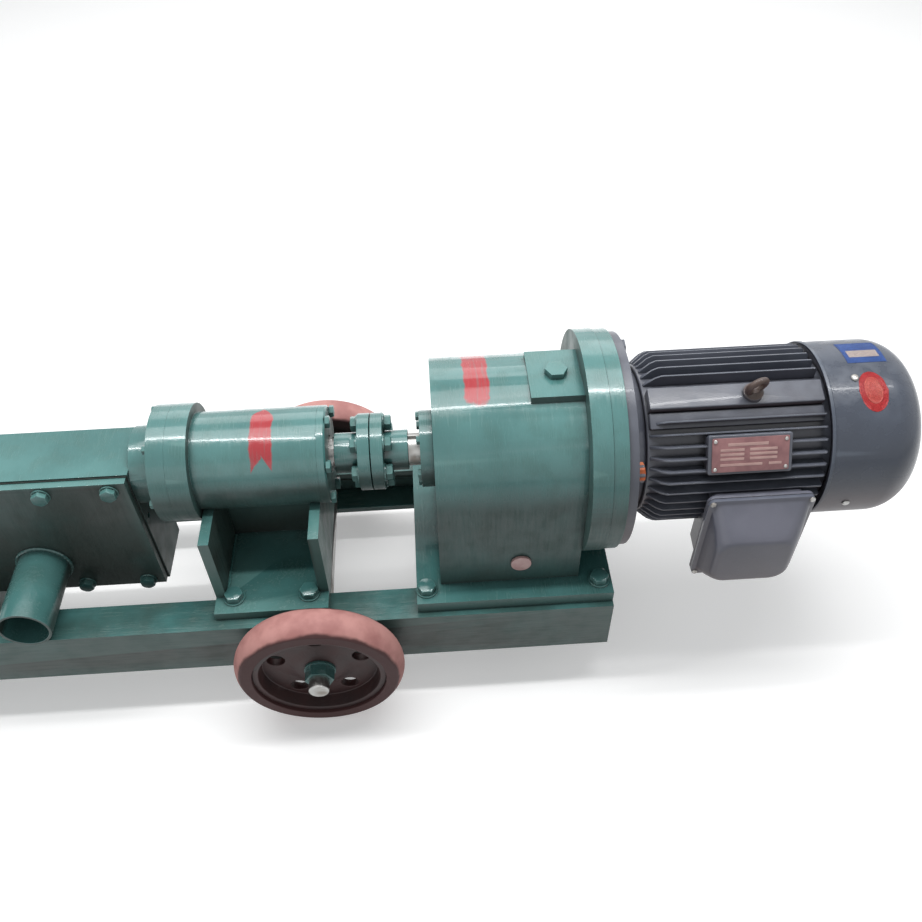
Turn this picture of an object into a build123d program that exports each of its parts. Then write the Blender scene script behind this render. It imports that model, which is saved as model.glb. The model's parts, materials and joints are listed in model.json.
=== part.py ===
"""Progressive cavity pump on a two-wheeled trolley, driven by a geared flange motor.

Frame: +X runs along the shaft from the discharge flange to the motor, +Z is up, and the
origin lies on the floor under the middle of the pump. All sizes are in millimetres.
"""

import os
from math import cos, radians, sin, sqrt

from build123d import *

os.makedirs("parts", exist_ok=True)

# ---------------------------------------------------------------- clearances
seat = 0.1  # gap at a spigot, a pilot or a saddle
running = 0.05  # radial gap of a shaft in its bore
bolt_gap = 0.5  # radial gap of a bolt in its hole
air = 1.0  # gap between a turning piece and a fixed one

# ---------------------------------------------------------------- lengths along the shaft
discharge_length = 76.0
stator_length = 400.0
port_flange = 14.0
chamber_length = 275.0
neck_length = 26.0
neck_flange = 20.0
bearing_length = 164.0
bearing_flange = 24.0
bearing_cover_thickness = 10.0
coupling_space = 6.0
hub_length = 28.0
coupling_flange = 14.0
coupling_joint = 1.0
gearbox_space = 14.0
output_cover_thickness = 15.0
gearbox_body = 165.0
gearbox_flange = 22.0
adapter_thickness = 17.0
motor_length = 341.0

lengths = (
    discharge_length, stator_length, port_flange, chamber_length, neck_length, neck_flange,
    bearing_length, bearing_cover_thickness, coupling_space, 2 * (hub_length + coupling_flange),
    coupling_joint, gearbox_space, output_cover_thickness, gearbox_body, gearbox_flange,
    adapter_thickness, motor_length,
)
x_discharge = -sum(lengths) / 2
x_stator = x_discharge + discharge_length
x_port = x_stator + stator_length
x_chamber = x_port + port_flange
x_neck = x_chamber + chamber_length
x_neck_flange = x_neck + neck_length
x_bearing = x_neck_flange + neck_flange
x_bearing_end = x_bearing + bearing_length
x_pump_hub = x_bearing_end + bearing_cover_thickness + coupling_space
x_joint = x_pump_hub + hub_length + coupling_flange
x_drive_half = x_joint + coupling_joint
x_output_cover = x_drive_half + coupling_flange + hub_length + gearbox_space
x_gearbox = x_output_cover + output_cover_thickness
x_gearbox_flange = x_gearbox + gearbox_body
x_adapter = x_gearbox_flange + gearbox_flange
x_motor = x_adapter + adapter_thickness
x_end = x_motor + motor_length

# ---------------------------------------------------------------- trolley
wheel_radius = 100.0
wheel_width = 40.0
wheel_gap = 12.0
rim_radius = 68.0
hub_radius = 33.0
axle_radius = 12.0
axle_stub = 15.0
axle_back = 18.0
hub_rise = 24.0
nut_height = 16.0
nut_flats = 30.0
washer = 3.0
washer_radius = 18.6
wheel_holes = 5
wheel_hole_radius = 10.5
rim_lip = 4.0
rim_step = 3.0
tyre_shoulder = 9.0
channel_height = 80.0
channel_width = 43.0
channel_web = 5.0
channel_leg = 8.0
frame_half_width = 140.0
frame_overhang = 15.0
gearbox_centre = 142.0

rail_bottom = wheel_radius - channel_height / 2
rail_top = rail_bottom + channel_height
shaft_height = rail_top + gearbox_centre
rail_start = x_discharge + frame_overhang
rail_end = x_motor
x_axle = x_bearing_end - axle_back
wheel_inside = frame_half_width + wheel_gap
hub_outside = wheel_inside + hub_rise
axle_half = hub_outside + nut_height + axle_stub

# ---------------------------------------------------------------- pump
rotor_radius = 18.0
eccentricity = 7.0
rotor_pitch = 80.0
stator_clearance = 0.6
port_opening = 36.0
tube_radius = 50.0
tube_wall = 8.0
end_flange_radius = 73.0
end_flange_bolts = 60.5
large_thread = 10.0
port_radius = 82.5
port_bolt_circle = 62.5
port_bore = 26.0
port_thickness = 18.0
chamber_half_width = 33.0
chamber_wall = 6.0
chamber_plate = 12.0
chamber_top = shaft_height + 28.5
chamber_bottom = shaft_height - 162.0
cover_thickness = 10.0
frame_thickness = 10.0
inlet_radius = 30.0
inlet_wall = 3.5
inlet_length = 94.0
x_inlet = x_neck - 135.0
inlet_height = shaft_height - 109.0
neck_radius = 45.0
housing_radius = 57.0
housing_flange_radius = 68.0
bearing_outer = 45.0
bearing_bore = 20.0
bearing_width = 23.0
packing_outer = 30.0
joint_ball = 10.0
joint_cup = 14.5
rod_radius = 7.0
cup_clearance = 0.3

# ---------------------------------------------------------------- coupling and gearbox
coupling_hub = 23.6
coupling_radius = 45.0
coupling_bolt_circle = 34.0
output_radius = 19.0
gearbox_radius = 105.0
gearbox_wall = 9.0
gearbox_flange_radius = 130.0
gearbox_base = 16.0
gearbox_base_inset = 8.0
gearbox_base_half = frame_half_width - gearbox_base_inset
base_front = 29.0
module = 3.0
sun_teeth = 18
planet_teeth = 18
planet_count = 3
gear_width = 40.0

ring_teeth = sun_teeth + 2 * planet_teeth
carrier_radius = module * (sun_teeth + planet_teeth) / 2

# ---------------------------------------------------------------- motor
motor_tilt = 20.0
motor_flange_thickness = 11.0
motor_thread = 12.0
spigot_radius = 90.0
spigot_depth = 4.0
neck_space = 17.0
barrel_radius = 86.0
barrel_wall = 5.0
fin_height = 14.0
fin_thickness = 2.6
fin_count = 44
barrel_length = 204.0
cowl_step = 1.0
cowl_wall = 2.0
cowl_fit = 0.3
core_length = 104.0
core_bore = 50.0
motor_shaft = 14.0
flange_rim = 39.0
adapter_rim = 4.0
bolt_ring = 21.5
box_stand = 2.0

x_barrel = x_motor + motor_flange_thickness + neck_space
x_barrel_end = x_barrel + barrel_length
fin_radius = barrel_radius + fin_height
cowl_radius = fin_radius + cowl_step
motor_bolt_circle = barrel_radius + bolt_ring
motor_flange_radius = barrel_radius + flange_rim
adapter_radius = motor_flange_radius + adapter_rim
box_seat = barrel_radius + box_stand

# ---------------------------------------------------------------- shared planes and shapes
shaft_axis = Axis((0, 0, shaft_height), (1, 0, 0))
shaft_plane = Plane((0, 0, shaft_height), x_dir=(1, 0, 0), z_dir=(0, -1, 0))


def across(x, height=shaft_height, tilt=0.0):
    """Plane square to the shaft at x, with its local x along +Y and its local y up."""
    side = (0, cos(radians(tilt)), sin(radians(tilt)))
    return Plane((x, 0, height), x_dir=side, z_dir=(1, 0, 0))


def turn(*corners, mode=Mode.ADD):
    """Revolve the closed outline through (x, radius) corners about the shaft."""
    with BuildSketch(shaft_plane) as half:
        with BuildLine():
            Polyline(*corners, close=True)
        make_face()
    revolve(half.sketch, axis=shaft_axis, mode=mode)


def ring(start, length, outer, inner=0.0, mode=Mode.ADD):
    """Disc or sleeve on the shaft axis."""
    turn((start, inner), (start, outer), (start + length, outer), (start + length, inner), mode=mode)


def hex_bolt(thread, length):
    """Hexagon bolt with its head above its own origin and its shank below."""
    with BuildPart() as bolt:
        with BuildSketch():
            RegularPolygon(thread * 0.8, 6, major_radius=False)
        extrude(amount=thread * 0.65)
        with BuildSketch():
            Circle(thread / 2)
        extrude(amount=-length)
    return bolt.part


def through_bolt(thread, grip):
    """Hexagon bolt with a nut that closes on the far side of its grip."""
    with BuildPart() as bolt:
        with BuildSketch():
            RegularPolygon(thread * 0.8, 6, major_radius=False)
        extrude(amount=thread * 0.65)
        with BuildSketch():
            Circle(thread / 2)
        extrude(amount=-grip - thread * 1.2)
        with BuildSketch(Plane.XY.offset(-grip)):
            RegularPolygon(thread * 0.8, 6, major_radius=False)
        extrude(amount=-thread * 0.8)
    return bolt.part


def tooth_ring(count, root, tip, tooth_share, phase=0.0):
    """Corners of a toothed outline with straight flanks, with a tooth at the phase angle."""
    corners = []
    pitch = 360 / count
    for tooth in range(count):
        middle = phase + tooth * pitch
        for radius, share in ((root, -0.66), (tip, -tooth_share), (tip, tooth_share), (root, 0.66)):
            angle = radians(middle + share * pitch / 2)
            corners.append((radius * cos(angle), radius * sin(angle)))
    return corners


def save(builder, name):
    """Label a finished piece and write it."""
    builder.part.label = name
    export_step(builder.part, f"parts/{name}.step")


# ================================================================ trolley frame
def channel_sketch():
    """Rolled channel with its web on the outside, seen along the rail."""
    with BuildSketch(Plane((rail_start, 0, rail_bottom), x_dir=(0, 1, 0), z_dir=(1, 0, 0))) as section:
        with Locations((-frame_half_width, 0)):
            Rectangle(channel_width, channel_height, align=(Align.MIN, Align.MIN))
        with Locations((-frame_half_width + channel_web, channel_leg)):
            Rectangle(channel_width, channel_height - 2 * channel_leg, align=(Align.MIN, Align.MIN),
                      mode=Mode.SUBTRACT)
    return section.sketch


rail_section = channel_sketch()
bracket_space = 2.0
x_bracket = x_bearing + bearing_flange + bracket_space
bracket_length = 134.0
bracket_plate = 12.0
bracket_bolt_inset = 36.0
foot_bolt_inset = 28.0
bracket_bolt_y = frame_half_width - bracket_bolt_inset
foot_bolt_y = frame_half_width - foot_bolt_inset
foot_bolt_front = 12.0
foot_bolt_back = 2.0
foot_bolts_x = (x_gearbox - base_front + foot_bolt_front, x_adapter + foot_bolt_back)
bracket_bolt_front = 22.0
bracket_bolt_back = 23.0
bracket_bolts_x = (x_bracket + bracket_bolt_front, x_bracket + bracket_length - bracket_bolt_back)
rail_bolt = 12.0

with BuildPart() as near_rail:
    extrude(rail_section, amount=rail_end - rail_start)
    with Locations(Plane((x_axle, -frame_half_width, wheel_radius), z_dir=(0, 1, 0))):
        Cylinder(axle_radius + seat, 3 * channel_web, mode=Mode.SUBTRACT)
    with Locations(*[(x, -foot_bolt_y, rail_top) for x in foot_bolts_x],
                   *[(x, -bracket_bolt_y, rail_top) for x in bracket_bolts_x]):
        Cylinder(rail_bolt / 2 + bolt_gap, 3 * channel_leg, mode=Mode.SUBTRACT)
save(near_rail, "near_rail")

with BuildPart() as far_rail:
    add(near_rail.part.mirror(Plane.XZ))
save(far_rail, "far_rail")

# Cross members: channels on their backs between the rails, their tops under the rail legs.
member_width = 60.0
member_height = chamber_bottom - rail_bottom - channel_leg - seat
member_half = frame_half_width - channel_web - seat
saddle_thickness = 12.0
saddle_inset = 26.0
chamber_member = 22.0
gearbox_member = 60.0
x_saddle = x_stator + port_flange + saddle_inset
members_x = (x_saddle, x_chamber + chamber_member, x_bracket + bracket_length / 2,
             x_gearbox + gearbox_member)
with BuildPart() as cross_members:
    for x in members_x:
        with BuildSketch(Plane((x, 0, rail_bottom + channel_leg + seat), x_dir=(1, 0, 0), z_dir=(0, -1, 0))):
            with Locations((0, member_height / 2)):
                Rectangle(member_width, member_height)
            with Locations((0, member_height / 2 - channel_web)):
                Rectangle(member_width - 2 * channel_web, member_height, mode=Mode.SUBTRACT)
        extrude(amount=member_half, both=True)
save(cross_members, "cross_members")

# Rest leg under each rail at the discharge end.
leg_side = 36.0
foot_plate = 10.0
leg_inset = 45.0
foot_length = 64.8
foot_width = 54.0
x_leg = rail_start + leg_inset
leg_y = frame_half_width - channel_width / 2
with BuildPart() as rest_legs:
    with Locations((x_leg, -leg_y, 0), (x_leg, leg_y, 0)):
        Box(foot_length, foot_width, foot_plate, align=(Align.CENTER, Align.CENTER, Align.MIN))
        Box(leg_side, leg_side, rail_bottom, align=(Align.CENTER, Align.CENTER, Align.MIN))
save(rest_legs, "rest_legs")

axle_chamfer = 1.5
axle_plane = Plane((x_axle, 0, wheel_radius), x_dir=(1, 0, 0), z_dir=(0, -1, 0))
with BuildPart() as axle:
    with BuildSketch(axle_plane):
        Circle(axle_radius)
    extrude(amount=axle_half, both=True)
    chamfer(axle.edges().filter_by(GeomType.CIRCLE), axle_chamfer)
save(axle, "axle")

with BuildPart() as axle_nuts:
    for side in (-1, 1):
        nut_plane = Plane((x_axle, side * (hub_outside + seat), wheel_radius),
                          x_dir=(1, 0, 0), z_dir=(0, side, 0))
        with BuildSketch(nut_plane):
            Circle(washer_radius)
            Circle(axle_radius + seat, mode=Mode.SUBTRACT)
        extrude(amount=washer)
        with BuildSketch(nut_plane.offset(washer)):
            RegularPolygon(nut_flats / 2, 6, major_radius=False)
            Circle(axle_radius + seat, mode=Mode.SUBTRACT)
        extrude(amount=nut_height - washer)
save(axle_nuts, "axle_nuts")


def wheel_half(corners, side):
    """Revolve (distance from the rail side, radius) corners about the axle on one side."""
    plane = Plane((x_axle, side * wheel_inside, wheel_radius), x_dir=(0, side, 0), z_dir=(side, 0, 0))
    with BuildSketch(plane) as half:
        with BuildLine():
            Polyline(*corners, close=True)
        make_face()
    revolve(half.sketch, axis=Axis((x_axle, 0, wheel_radius), (0, 1, 0)))


wheel_disc = 10.0
hub_taper = 6.0
tyre_seat = 78.0
for side, name in ((-1, "near"), (1, "far")):
    with BuildPart() as wheel_core:
        wheel_half([
            (-wheel_gap / 2, axle_radius + running), (-wheel_gap / 2, hub_radius),
            (wheel_width / 2 - wheel_disc, hub_radius + rim_lip), (wheel_width / 2 - wheel_disc, rim_radius),
            (rim_lip, rim_radius + rim_step), (rim_lip, tyre_seat), (wheel_width - rim_lip, tyre_seat),
            (wheel_width - rim_lip, rim_radius + rim_step), (wheel_width / 2, rim_radius),
            (wheel_width / 2, hub_radius + rim_lip), (hub_rise, hub_radius - hub_taper),
            (hub_rise, axle_radius + running),
        ], side)
        hole_plane = Plane((x_axle, side * (wheel_inside + wheel_width / 2), wheel_radius),
                           x_dir=(1, 0, 0), z_dir=(0, side, 0))
        with Locations(hole_plane):
            with PolarLocations((hub_radius + rim_radius + rim_lip) / 2, wheel_holes, start_angle=90):
                Cylinder(wheel_hole_radius, 4 * wheel_disc, mode=Mode.SUBTRACT)
    save(wheel_core, f"{name}_wheel")

    with BuildPart() as tyre:
        with BuildSketch(Plane((x_axle, side * wheel_inside, wheel_radius), x_dir=(0, side, 0),
                               z_dir=(side, 0, 0))) as tread:
            with BuildLine():
                Line((0, tyre_seat + seat), (0, wheel_radius - tyre_shoulder))
                ThreePointArc((0, wheel_radius - tyre_shoulder), (wheel_width / 2, wheel_radius),
                              (wheel_width, wheel_radius - tyre_shoulder))
                Line((wheel_width, wheel_radius - tyre_shoulder), (wheel_width, tyre_seat + seat))
                Line((wheel_width, tyre_seat + seat), (0, tyre_seat + seat))
            make_face()
        revolve(axis=Axis((x_axle, 0, wheel_radius), (0, 1, 0)))
    save(tyre, f"{name}_tyre")

# ================================================================ bearing housing and bracket
bracket_half = 102.0
bracket_base_inset = 14.0
bracket_base_half = frame_half_width - bracket_base_inset
shoulder = shaft_height - 30.0
web_thickness = 10.0
base_top = rail_top + bracket_plate
with BuildPart() as bearing_bracket:
    with Locations((x_bracket + bracket_length / 2, 0, rail_top)):
        Box(bracket_length, 2 * bracket_base_half, bracket_plate,
            align=(Align.CENTER, Align.CENTER, Align.MIN))
    for x in (x_bracket, x_bracket + bracket_length - bracket_plate):
        with BuildSketch(Plane((x, 0, base_top), x_dir=(0, 1, 0), z_dir=(1, 0, 0))) as end_plate:
            Rectangle(2 * bracket_half, shoulder - base_top, align=(Align.CENTER, Align.MIN))
            with Locations((0, shaft_height - base_top)):
                Circle(housing_radius + seat, mode=Mode.SUBTRACT)
        extrude(amount=bracket_plate)
    with Locations((x_bracket + bracket_length / 2, 0, base_top)):
        Box(bracket_length - bracket_plate, web_thickness, shaft_height - housing_radius - base_top - seat,
            align=(Align.CENTER, Align.CENTER, Align.MIN))
    with Locations(*[(x, y, rail_top) for x in bracket_bolts_x for y in (-bracket_bolt_y, bracket_bolt_y)]):
        Cylinder(rail_bolt / 2 + bolt_gap, 4 * bracket_plate, mode=Mode.SUBTRACT)
save(bearing_bracket, "bearing_bracket")

rail_bolt_piece = through_bolt(rail_bolt, bracket_plate + channel_leg)
with BuildPart() as bracket_bolts:
    with Locations(*[(x, y, base_top) for x in bracket_bolts_x for y in (-bracket_bolt_y, bracket_bolt_y)]):
        add(rail_bolt_piece)
save(bracket_bolts, "bracket_bolts")

seat_inset = 12.0
tapped_depth = 22.0
cover_screw_grip = 16.0
left_seat = x_bearing + seat_inset
right_seat = x_bearing_end - bearing_width
small_thread = 8.0
neck_thread = 6.0
cover_bolt_circle = bearing_outer + 6.5
neck_bolt_circle = housing_radius + 5.8
with BuildPart() as bearing_housing:
    turn((x_bearing, bearing_bore + 6), (x_bearing, housing_flange_radius),
         (x_bearing + bearing_flange, housing_flange_radius),
         (x_bearing + bearing_flange, housing_radius), (x_bearing_end, housing_radius),
         (x_bearing_end, bearing_outer + seat), (right_seat - seat, bearing_outer + seat),
         (right_seat - seat, bearing_outer + 3), (left_seat + bearing_width, bearing_outer + 3),
         (left_seat + bearing_width, bearing_outer + seat), (left_seat - seat, bearing_outer + seat),
         (left_seat - seat, bearing_bore + 6))
    with Locations(across(x_bearing_end)):
        with PolarLocations(cover_bolt_circle, 6, start_angle=30):
            Cylinder(small_thread / 2 + seat, 2 * tapped_depth, mode=Mode.SUBTRACT)
    with Locations(across(x_bearing)):
        with PolarLocations(neck_bolt_circle, 6):
            Cylinder(neck_thread / 2 + seat, 2 * bearing_flange - 8, mode=Mode.SUBTRACT)
save(bearing_housing, "bearing_housing")

with BuildPart() as bearing_cover:
    turn((x_bearing_end, bearing_bore + 2), (x_bearing_end, housing_radius),
         (x_bearing_end + bearing_cover_thickness - 2, housing_radius),
         (x_bearing_end + bearing_cover_thickness, housing_radius - 2),
         (x_bearing_end + bearing_cover_thickness, bearing_bore + 2))
    with Locations(across(x_bearing_end)):
        with PolarLocations(cover_bolt_circle, 6, start_angle=30):
            Cylinder(small_thread / 2 + bolt_gap, 4 * bearing_cover_thickness, mode=Mode.SUBTRACT)
save(bearing_cover, "bearing_cover")

cover_screw = hex_bolt(small_thread, bearing_cover_thickness + cover_screw_grip)
neck_screw = hex_bolt(neck_thread, neck_flange + bearing_flange - 6.0)
with BuildPart() as bearing_bolts:
    with Locations(across(x_bearing_end + bearing_cover_thickness)):
        with PolarLocations(cover_bolt_circle, 6, start_angle=30):
            add(cover_screw)
    with Locations(Plane((x_neck_flange, 0, shaft_height), x_dir=(0, 1, 0), z_dir=(-1, 0, 0))):
        with PolarLocations(neck_bolt_circle, 6):
            add(neck_screw)
save(bearing_bolts, "bearing_bolts")

# Deep-groove bearings: two carry the pump shaft and two the gearbox output shaft.
output_bearing_outer = 34.0
output_bearing_width = 15.0
output_seat_inset = 6.0
output_seat_pitch = 34.0
output_seats = (x_gearbox + output_seat_inset, x_gearbox + output_seat_inset + output_seat_pitch)
ring_wall = 7.0
shaft_bearings = [(left_seat, bearing_width, bearing_outer), (right_seat, bearing_width, bearing_outer)]
shaft_bearings += [(x, output_bearing_width, output_bearing_outer) for x in output_seats]
with BuildPart() as bearing_outer_rings:
    for start, width, outer in shaft_bearings:
        ring(start, width, outer, outer - ring_wall)
save(bearing_outer_rings, "bearing_outer_rings")

with BuildPart() as bearing_inner_rings:
    for start, width, outer in shaft_bearings:
        ring(start, width, bearing_bore + ring_wall, bearing_bore + seat)
save(bearing_inner_rings, "bearing_inner_rings")

# ================================================================ suction chamber
cover_inner = chamber_half_width + frame_thickness
stuffing_depth = neck_length + neck_flange
cover_screw_front = 28.0
cover_screw_back = 22.0
cover_screw_reach = 7.0
cover_tapping = cover_screw_reach + 1.5
cover_screw_pitch = (chamber_length - cover_screw_front - cover_screw_back) / 3
cover_screws_down = 16.0
cover_screws_up = 11.0
cover_screws_top = chamber_top - cover_screws_down
cover_screws_bottom = chamber_bottom + cover_screws_up
cover_columns = [x_neck - cover_screw_back - cover_screw_pitch * k for k in range(4)]
cover_rows = [cover_screws_top, cover_screws_bottom]
cover_points = [(x, z) for x in cover_columns for z in cover_rows]
frame_side = 31.0
frame_edge = 25.0
cover_side_inset = 2.0
cover_edge_inset = 3.0
packing_floor = 5.0
neck_overlap = 5.0
chamber_depth = chamber_top - chamber_bottom
with BuildPart() as suction_chamber:
    with BuildSketch(Plane((0, chamber_half_width, 0), x_dir=(1, 0, 0), z_dir=(0, -1, 0))):
        with Locations((x_chamber + chamber_length / 2, (chamber_top + chamber_bottom) / 2)):
            Rectangle(chamber_length, chamber_depth)
    extrude(amount=2 * chamber_half_width + frame_thickness)
    with BuildSketch(Plane((0, chamber_half_width - chamber_wall, 0), x_dir=(1, 0, 0), z_dir=(0, -1, 0))):
        with Locations((x_chamber + chamber_length / 2, chamber_top - chamber_wall)):
            Rectangle(chamber_length - 2 * chamber_plate, chamber_depth - chamber_wall - chamber_plate,
                      align=(Align.CENTER, Align.MAX))
    extrude(amount=2 * chamber_half_width - chamber_wall, mode=Mode.SUBTRACT)
    with BuildSketch(Plane((0, 0, 0), x_dir=(1, 0, 0), z_dir=(0, -1, 0))):
        with Locations((x_chamber + chamber_length / 2, (chamber_top + chamber_bottom) / 2)):
            Rectangle(chamber_length - 2 * frame_side, chamber_depth - 2 * frame_edge)
    extrude(amount=2 * cover_inner, mode=Mode.SUBTRACT)
    ring(x_neck, neck_length + neck_overlap, neck_radius)
    ring(x_neck_flange, neck_flange, housing_flange_radius)
    ring(x_neck + packing_floor, stuffing_depth, packing_outer + seat, mode=Mode.SUBTRACT)
    ring(x_neck - chamber_plate, 2 * stuffing_depth, bearing_bore + air, mode=Mode.SUBTRACT)
    ring(x_port, port_flange, end_flange_radius)
    ring(x_port, port_flange + chamber_plate, port_opening, mode=Mode.SUBTRACT)
    with Locations(across(x_neck_flange)):
        with PolarLocations(neck_bolt_circle, 6):
            Cylinder(neck_thread / 2 + bolt_gap, 3 * neck_flange, mode=Mode.SUBTRACT)
    with Locations(across(x_port)):
        with PolarLocations(end_flange_bolts, 4, start_angle=45):
            Cylinder(large_thread / 2 + bolt_gap, 2 * port_flange, mode=Mode.SUBTRACT)
    with Locations(*[Plane((x, -cover_inner, z), z_dir=(0, -1, 0)) for x, z in cover_points]):
        Cylinder(large_thread / 2 + seat, 2 * cover_tapping, mode=Mode.SUBTRACT)
save(suction_chamber, "suction_chamber")

with BuildPart() as side_cover:
    with BuildSketch(Plane((0, -cover_inner, 0), x_dir=(1, 0, 0), z_dir=(0, -1, 0))):
        with Locations((x_chamber + chamber_length / 2, (chamber_top + chamber_bottom) / 2)):
            Rectangle(chamber_length - 2 * cover_side_inset, chamber_depth - 2 * cover_edge_inset)
        with Locations((x_inlet, inlet_height)):
            Circle(inlet_radius - inlet_wall, mode=Mode.SUBTRACT)
        with Locations(*cover_points):
            Circle(large_thread / 2 + bolt_gap, mode=Mode.SUBTRACT)
    extrude(amount=cover_thickness)
save(side_cover, "side_cover")

side_bolt = hex_bolt(large_thread, cover_thickness + cover_screw_reach)
with BuildPart() as side_cover_bolts:
    with Locations(*[Plane((x, -cover_inner - cover_thickness, z), z_dir=(0, -1, 0))
                     for x, z in cover_points]):
        add(side_bolt)
save(side_cover_bolts, "side_cover_bolts")

inlet_plane = Plane((x_inlet, -cover_inner - cover_thickness, inlet_height),
                    x_dir=(1, 0, 0), z_dir=(0, -1, 0))
with BuildPart() as inlet_pipe:
    with BuildSketch(inlet_plane):
        Circle(inlet_radius)
        Circle(inlet_radius - inlet_wall, mode=Mode.SUBTRACT)
    extrude(amount=inlet_length)
save(inlet_pipe, "inlet_pipe")

gland_length = 12.0
gland_space = 4.0
packing_gap = 0.4
packing_length = stuffing_depth - packing_floor - gland_length - gland_space
ring_count = 3
packing_pitch = packing_length / ring_count
with BuildPart() as packing_rings:
    for k in range(ring_count):
        ring(x_neck + packing_floor + k * packing_pitch, packing_pitch - packing_gap,
             packing_outer, bearing_bore + running)
save(packing_rings, "packing_rings")

with BuildPart() as packing_gland:
    ring(x_neck + packing_floor + packing_length, gland_length, packing_outer, bearing_bore + air)
save(packing_gland, "packing_gland")

# ================================================================ stator and discharge
liner_radius = tube_radius - tube_wall - seat
with BuildPart() as stator_tube:
    ring(x_stator, stator_length, tube_radius, tube_radius - tube_wall)
    ring(x_stator, port_flange, end_flange_radius, tube_radius - tube_wall)
    ring(x_port - port_flange, port_flange, end_flange_radius, tube_radius - tube_wall)
    for x in (x_stator, x_port):
        with Locations(across(x)):
            with PolarLocations(end_flange_bolts, 4, start_angle=45):
                Cylinder(large_thread / 2 + bolt_gap, 2.2 * port_flange, mode=Mode.SUBTRACT)
save(stator_tube, "stator_tube")

rotor_tail = 20.0

# The lining's cavity is a two-start thread: a slot that makes half a turn per rotor pitch.
cavity_radius = rotor_radius + stator_clearance
with BuildPart() as stator_liner:
    ring(x_stator, stator_length, liner_radius)
    with BuildSketch(across(x_stator)):
        SlotCenterToCenter(4 * eccentricity, 2 * cavity_radius, rotation=90 + 180 * rotor_tail / rotor_pitch)
    cavity_path = Edge.make_line((x_stator, 0, shaft_height), (x_stator + stator_length, 0, shaft_height))
    cavity_twist = Helix(2 * rotor_pitch, stator_length, tube_radius,
                         center=(x_stator, 0, shaft_height), direction=(1, 0, 0), mode=Mode.PRIVATE)
    sweep(path=cavity_path, binormal=cavity_twist, mode=Mode.SUBTRACT)
save(stator_liner, "stator_liner")

# The rotor is one round thread: a circle whose centre winds round the rotor's own axis, which
# itself stands one eccentricity above the shaft axis.
x_rotor = x_stator - rotor_tail
thread_overrun = 6.0
rod_inset_left = 36.0
rod_inset_right = 32.0
thread_end = x_port + thread_overrun
x_rod_left = x_chamber + chamber_plate + rod_inset_left
x_rod_right = x_neck - chamber_plate - rod_inset_right
rotor_height = shaft_height + eccentricity
rotor_axis = Axis((0, 0, rotor_height), (1, 0, 0))
shank_radius = 12.5
cup_back = 18.0
cup_mouth = 5.0
with BuildPart() as pump_rotor:
    rotor_helix = Helix(rotor_pitch, thread_end - x_rotor, eccentricity,
                        center=(x_rotor, 0, rotor_height), direction=(1, 0, 0), mode=Mode.PRIVATE)
    with BuildSketch(across(x_rotor, rotor_height + eccentricity)):
        Circle(rotor_radius)
    sweep(path=rotor_helix, normal=(1, 0, 0))
    with BuildSketch(across(thread_end - 4, rotor_height)):
        Circle(shank_radius)
    extrude(amount=x_rod_left - cup_back - thread_end + 4)
    with BuildSketch(across(x_rod_left - cup_back, rotor_height)):
        Circle(joint_cup)
    extrude(amount=cup_back + cup_mouth)
    with Locations((x_rod_left, 0, rotor_height)):
        Sphere(joint_ball + cup_clearance, mode=Mode.SUBTRACT)
save(pump_rotor, "pump_rotor")

rod_left = Vector(x_rod_left, 0, rotor_height)
rod_right = Vector(x_rod_right, 0, shaft_height)
with BuildPart() as connecting_rod:
    with Locations(rod_left, rod_right):
        Sphere(joint_ball)
    with BuildSketch(Plane(rod_left, z_dir=rod_right - rod_left)):
        Circle(rod_radius)
    extrude(amount=(rod_right - rod_left).length)
save(connecting_rod, "connecting_rod")

discharge_wall = 7.0
discharge_hub = 12.0
neck_taper = 8.0
port_hole_radius = 9.0
tail_space = 4.0
with BuildPart() as discharge_body:
    turn((x_discharge, port_bore), (x_discharge, port_radius),
         (x_discharge + port_thickness, port_radius),
         (x_discharge + port_thickness, port_bore + discharge_hub),
         (x_stator - port_flange - neck_taper, port_opening + discharge_wall),
         (x_stator - port_flange, port_opening + discharge_wall),
         (x_stator - port_flange, end_flange_radius), (x_stator, end_flange_radius),
         (x_stator, port_opening), (x_rotor - tail_space, port_opening),
         (x_discharge + port_thickness, port_bore))
    with Locations(across(x_stator)):
        with PolarLocations(end_flange_bolts, 4, start_angle=45):
            Cylinder(large_thread / 2 + bolt_gap, 3 * port_flange, mode=Mode.SUBTRACT)
    with Locations(across(x_discharge)):
        with PolarLocations(port_bolt_circle, 4, start_angle=45):
            Cylinder(port_hole_radius, 3 * port_thickness, mode=Mode.SUBTRACT)
save(discharge_body, "discharge_body")

discharge_bolt = through_bolt(large_thread, 2 * port_flange)
port_screw = hex_bolt(large_thread, 2 * port_flange - 2.0)
with BuildPart() as stator_bolts:
    with Locations(across(x_stator + port_flange)):
        with PolarLocations(end_flange_bolts, 4, start_angle=45):
            add(discharge_bolt)
    with Locations(Plane((x_port - port_flange, 0, shaft_height), x_dir=(0, 1, 0), z_dir=(-1, 0, 0))):
        with PolarLocations(end_flange_bolts, 4, start_angle=45):
            add(port_screw)
save(stator_bolts, "stator_bolts")

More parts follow.
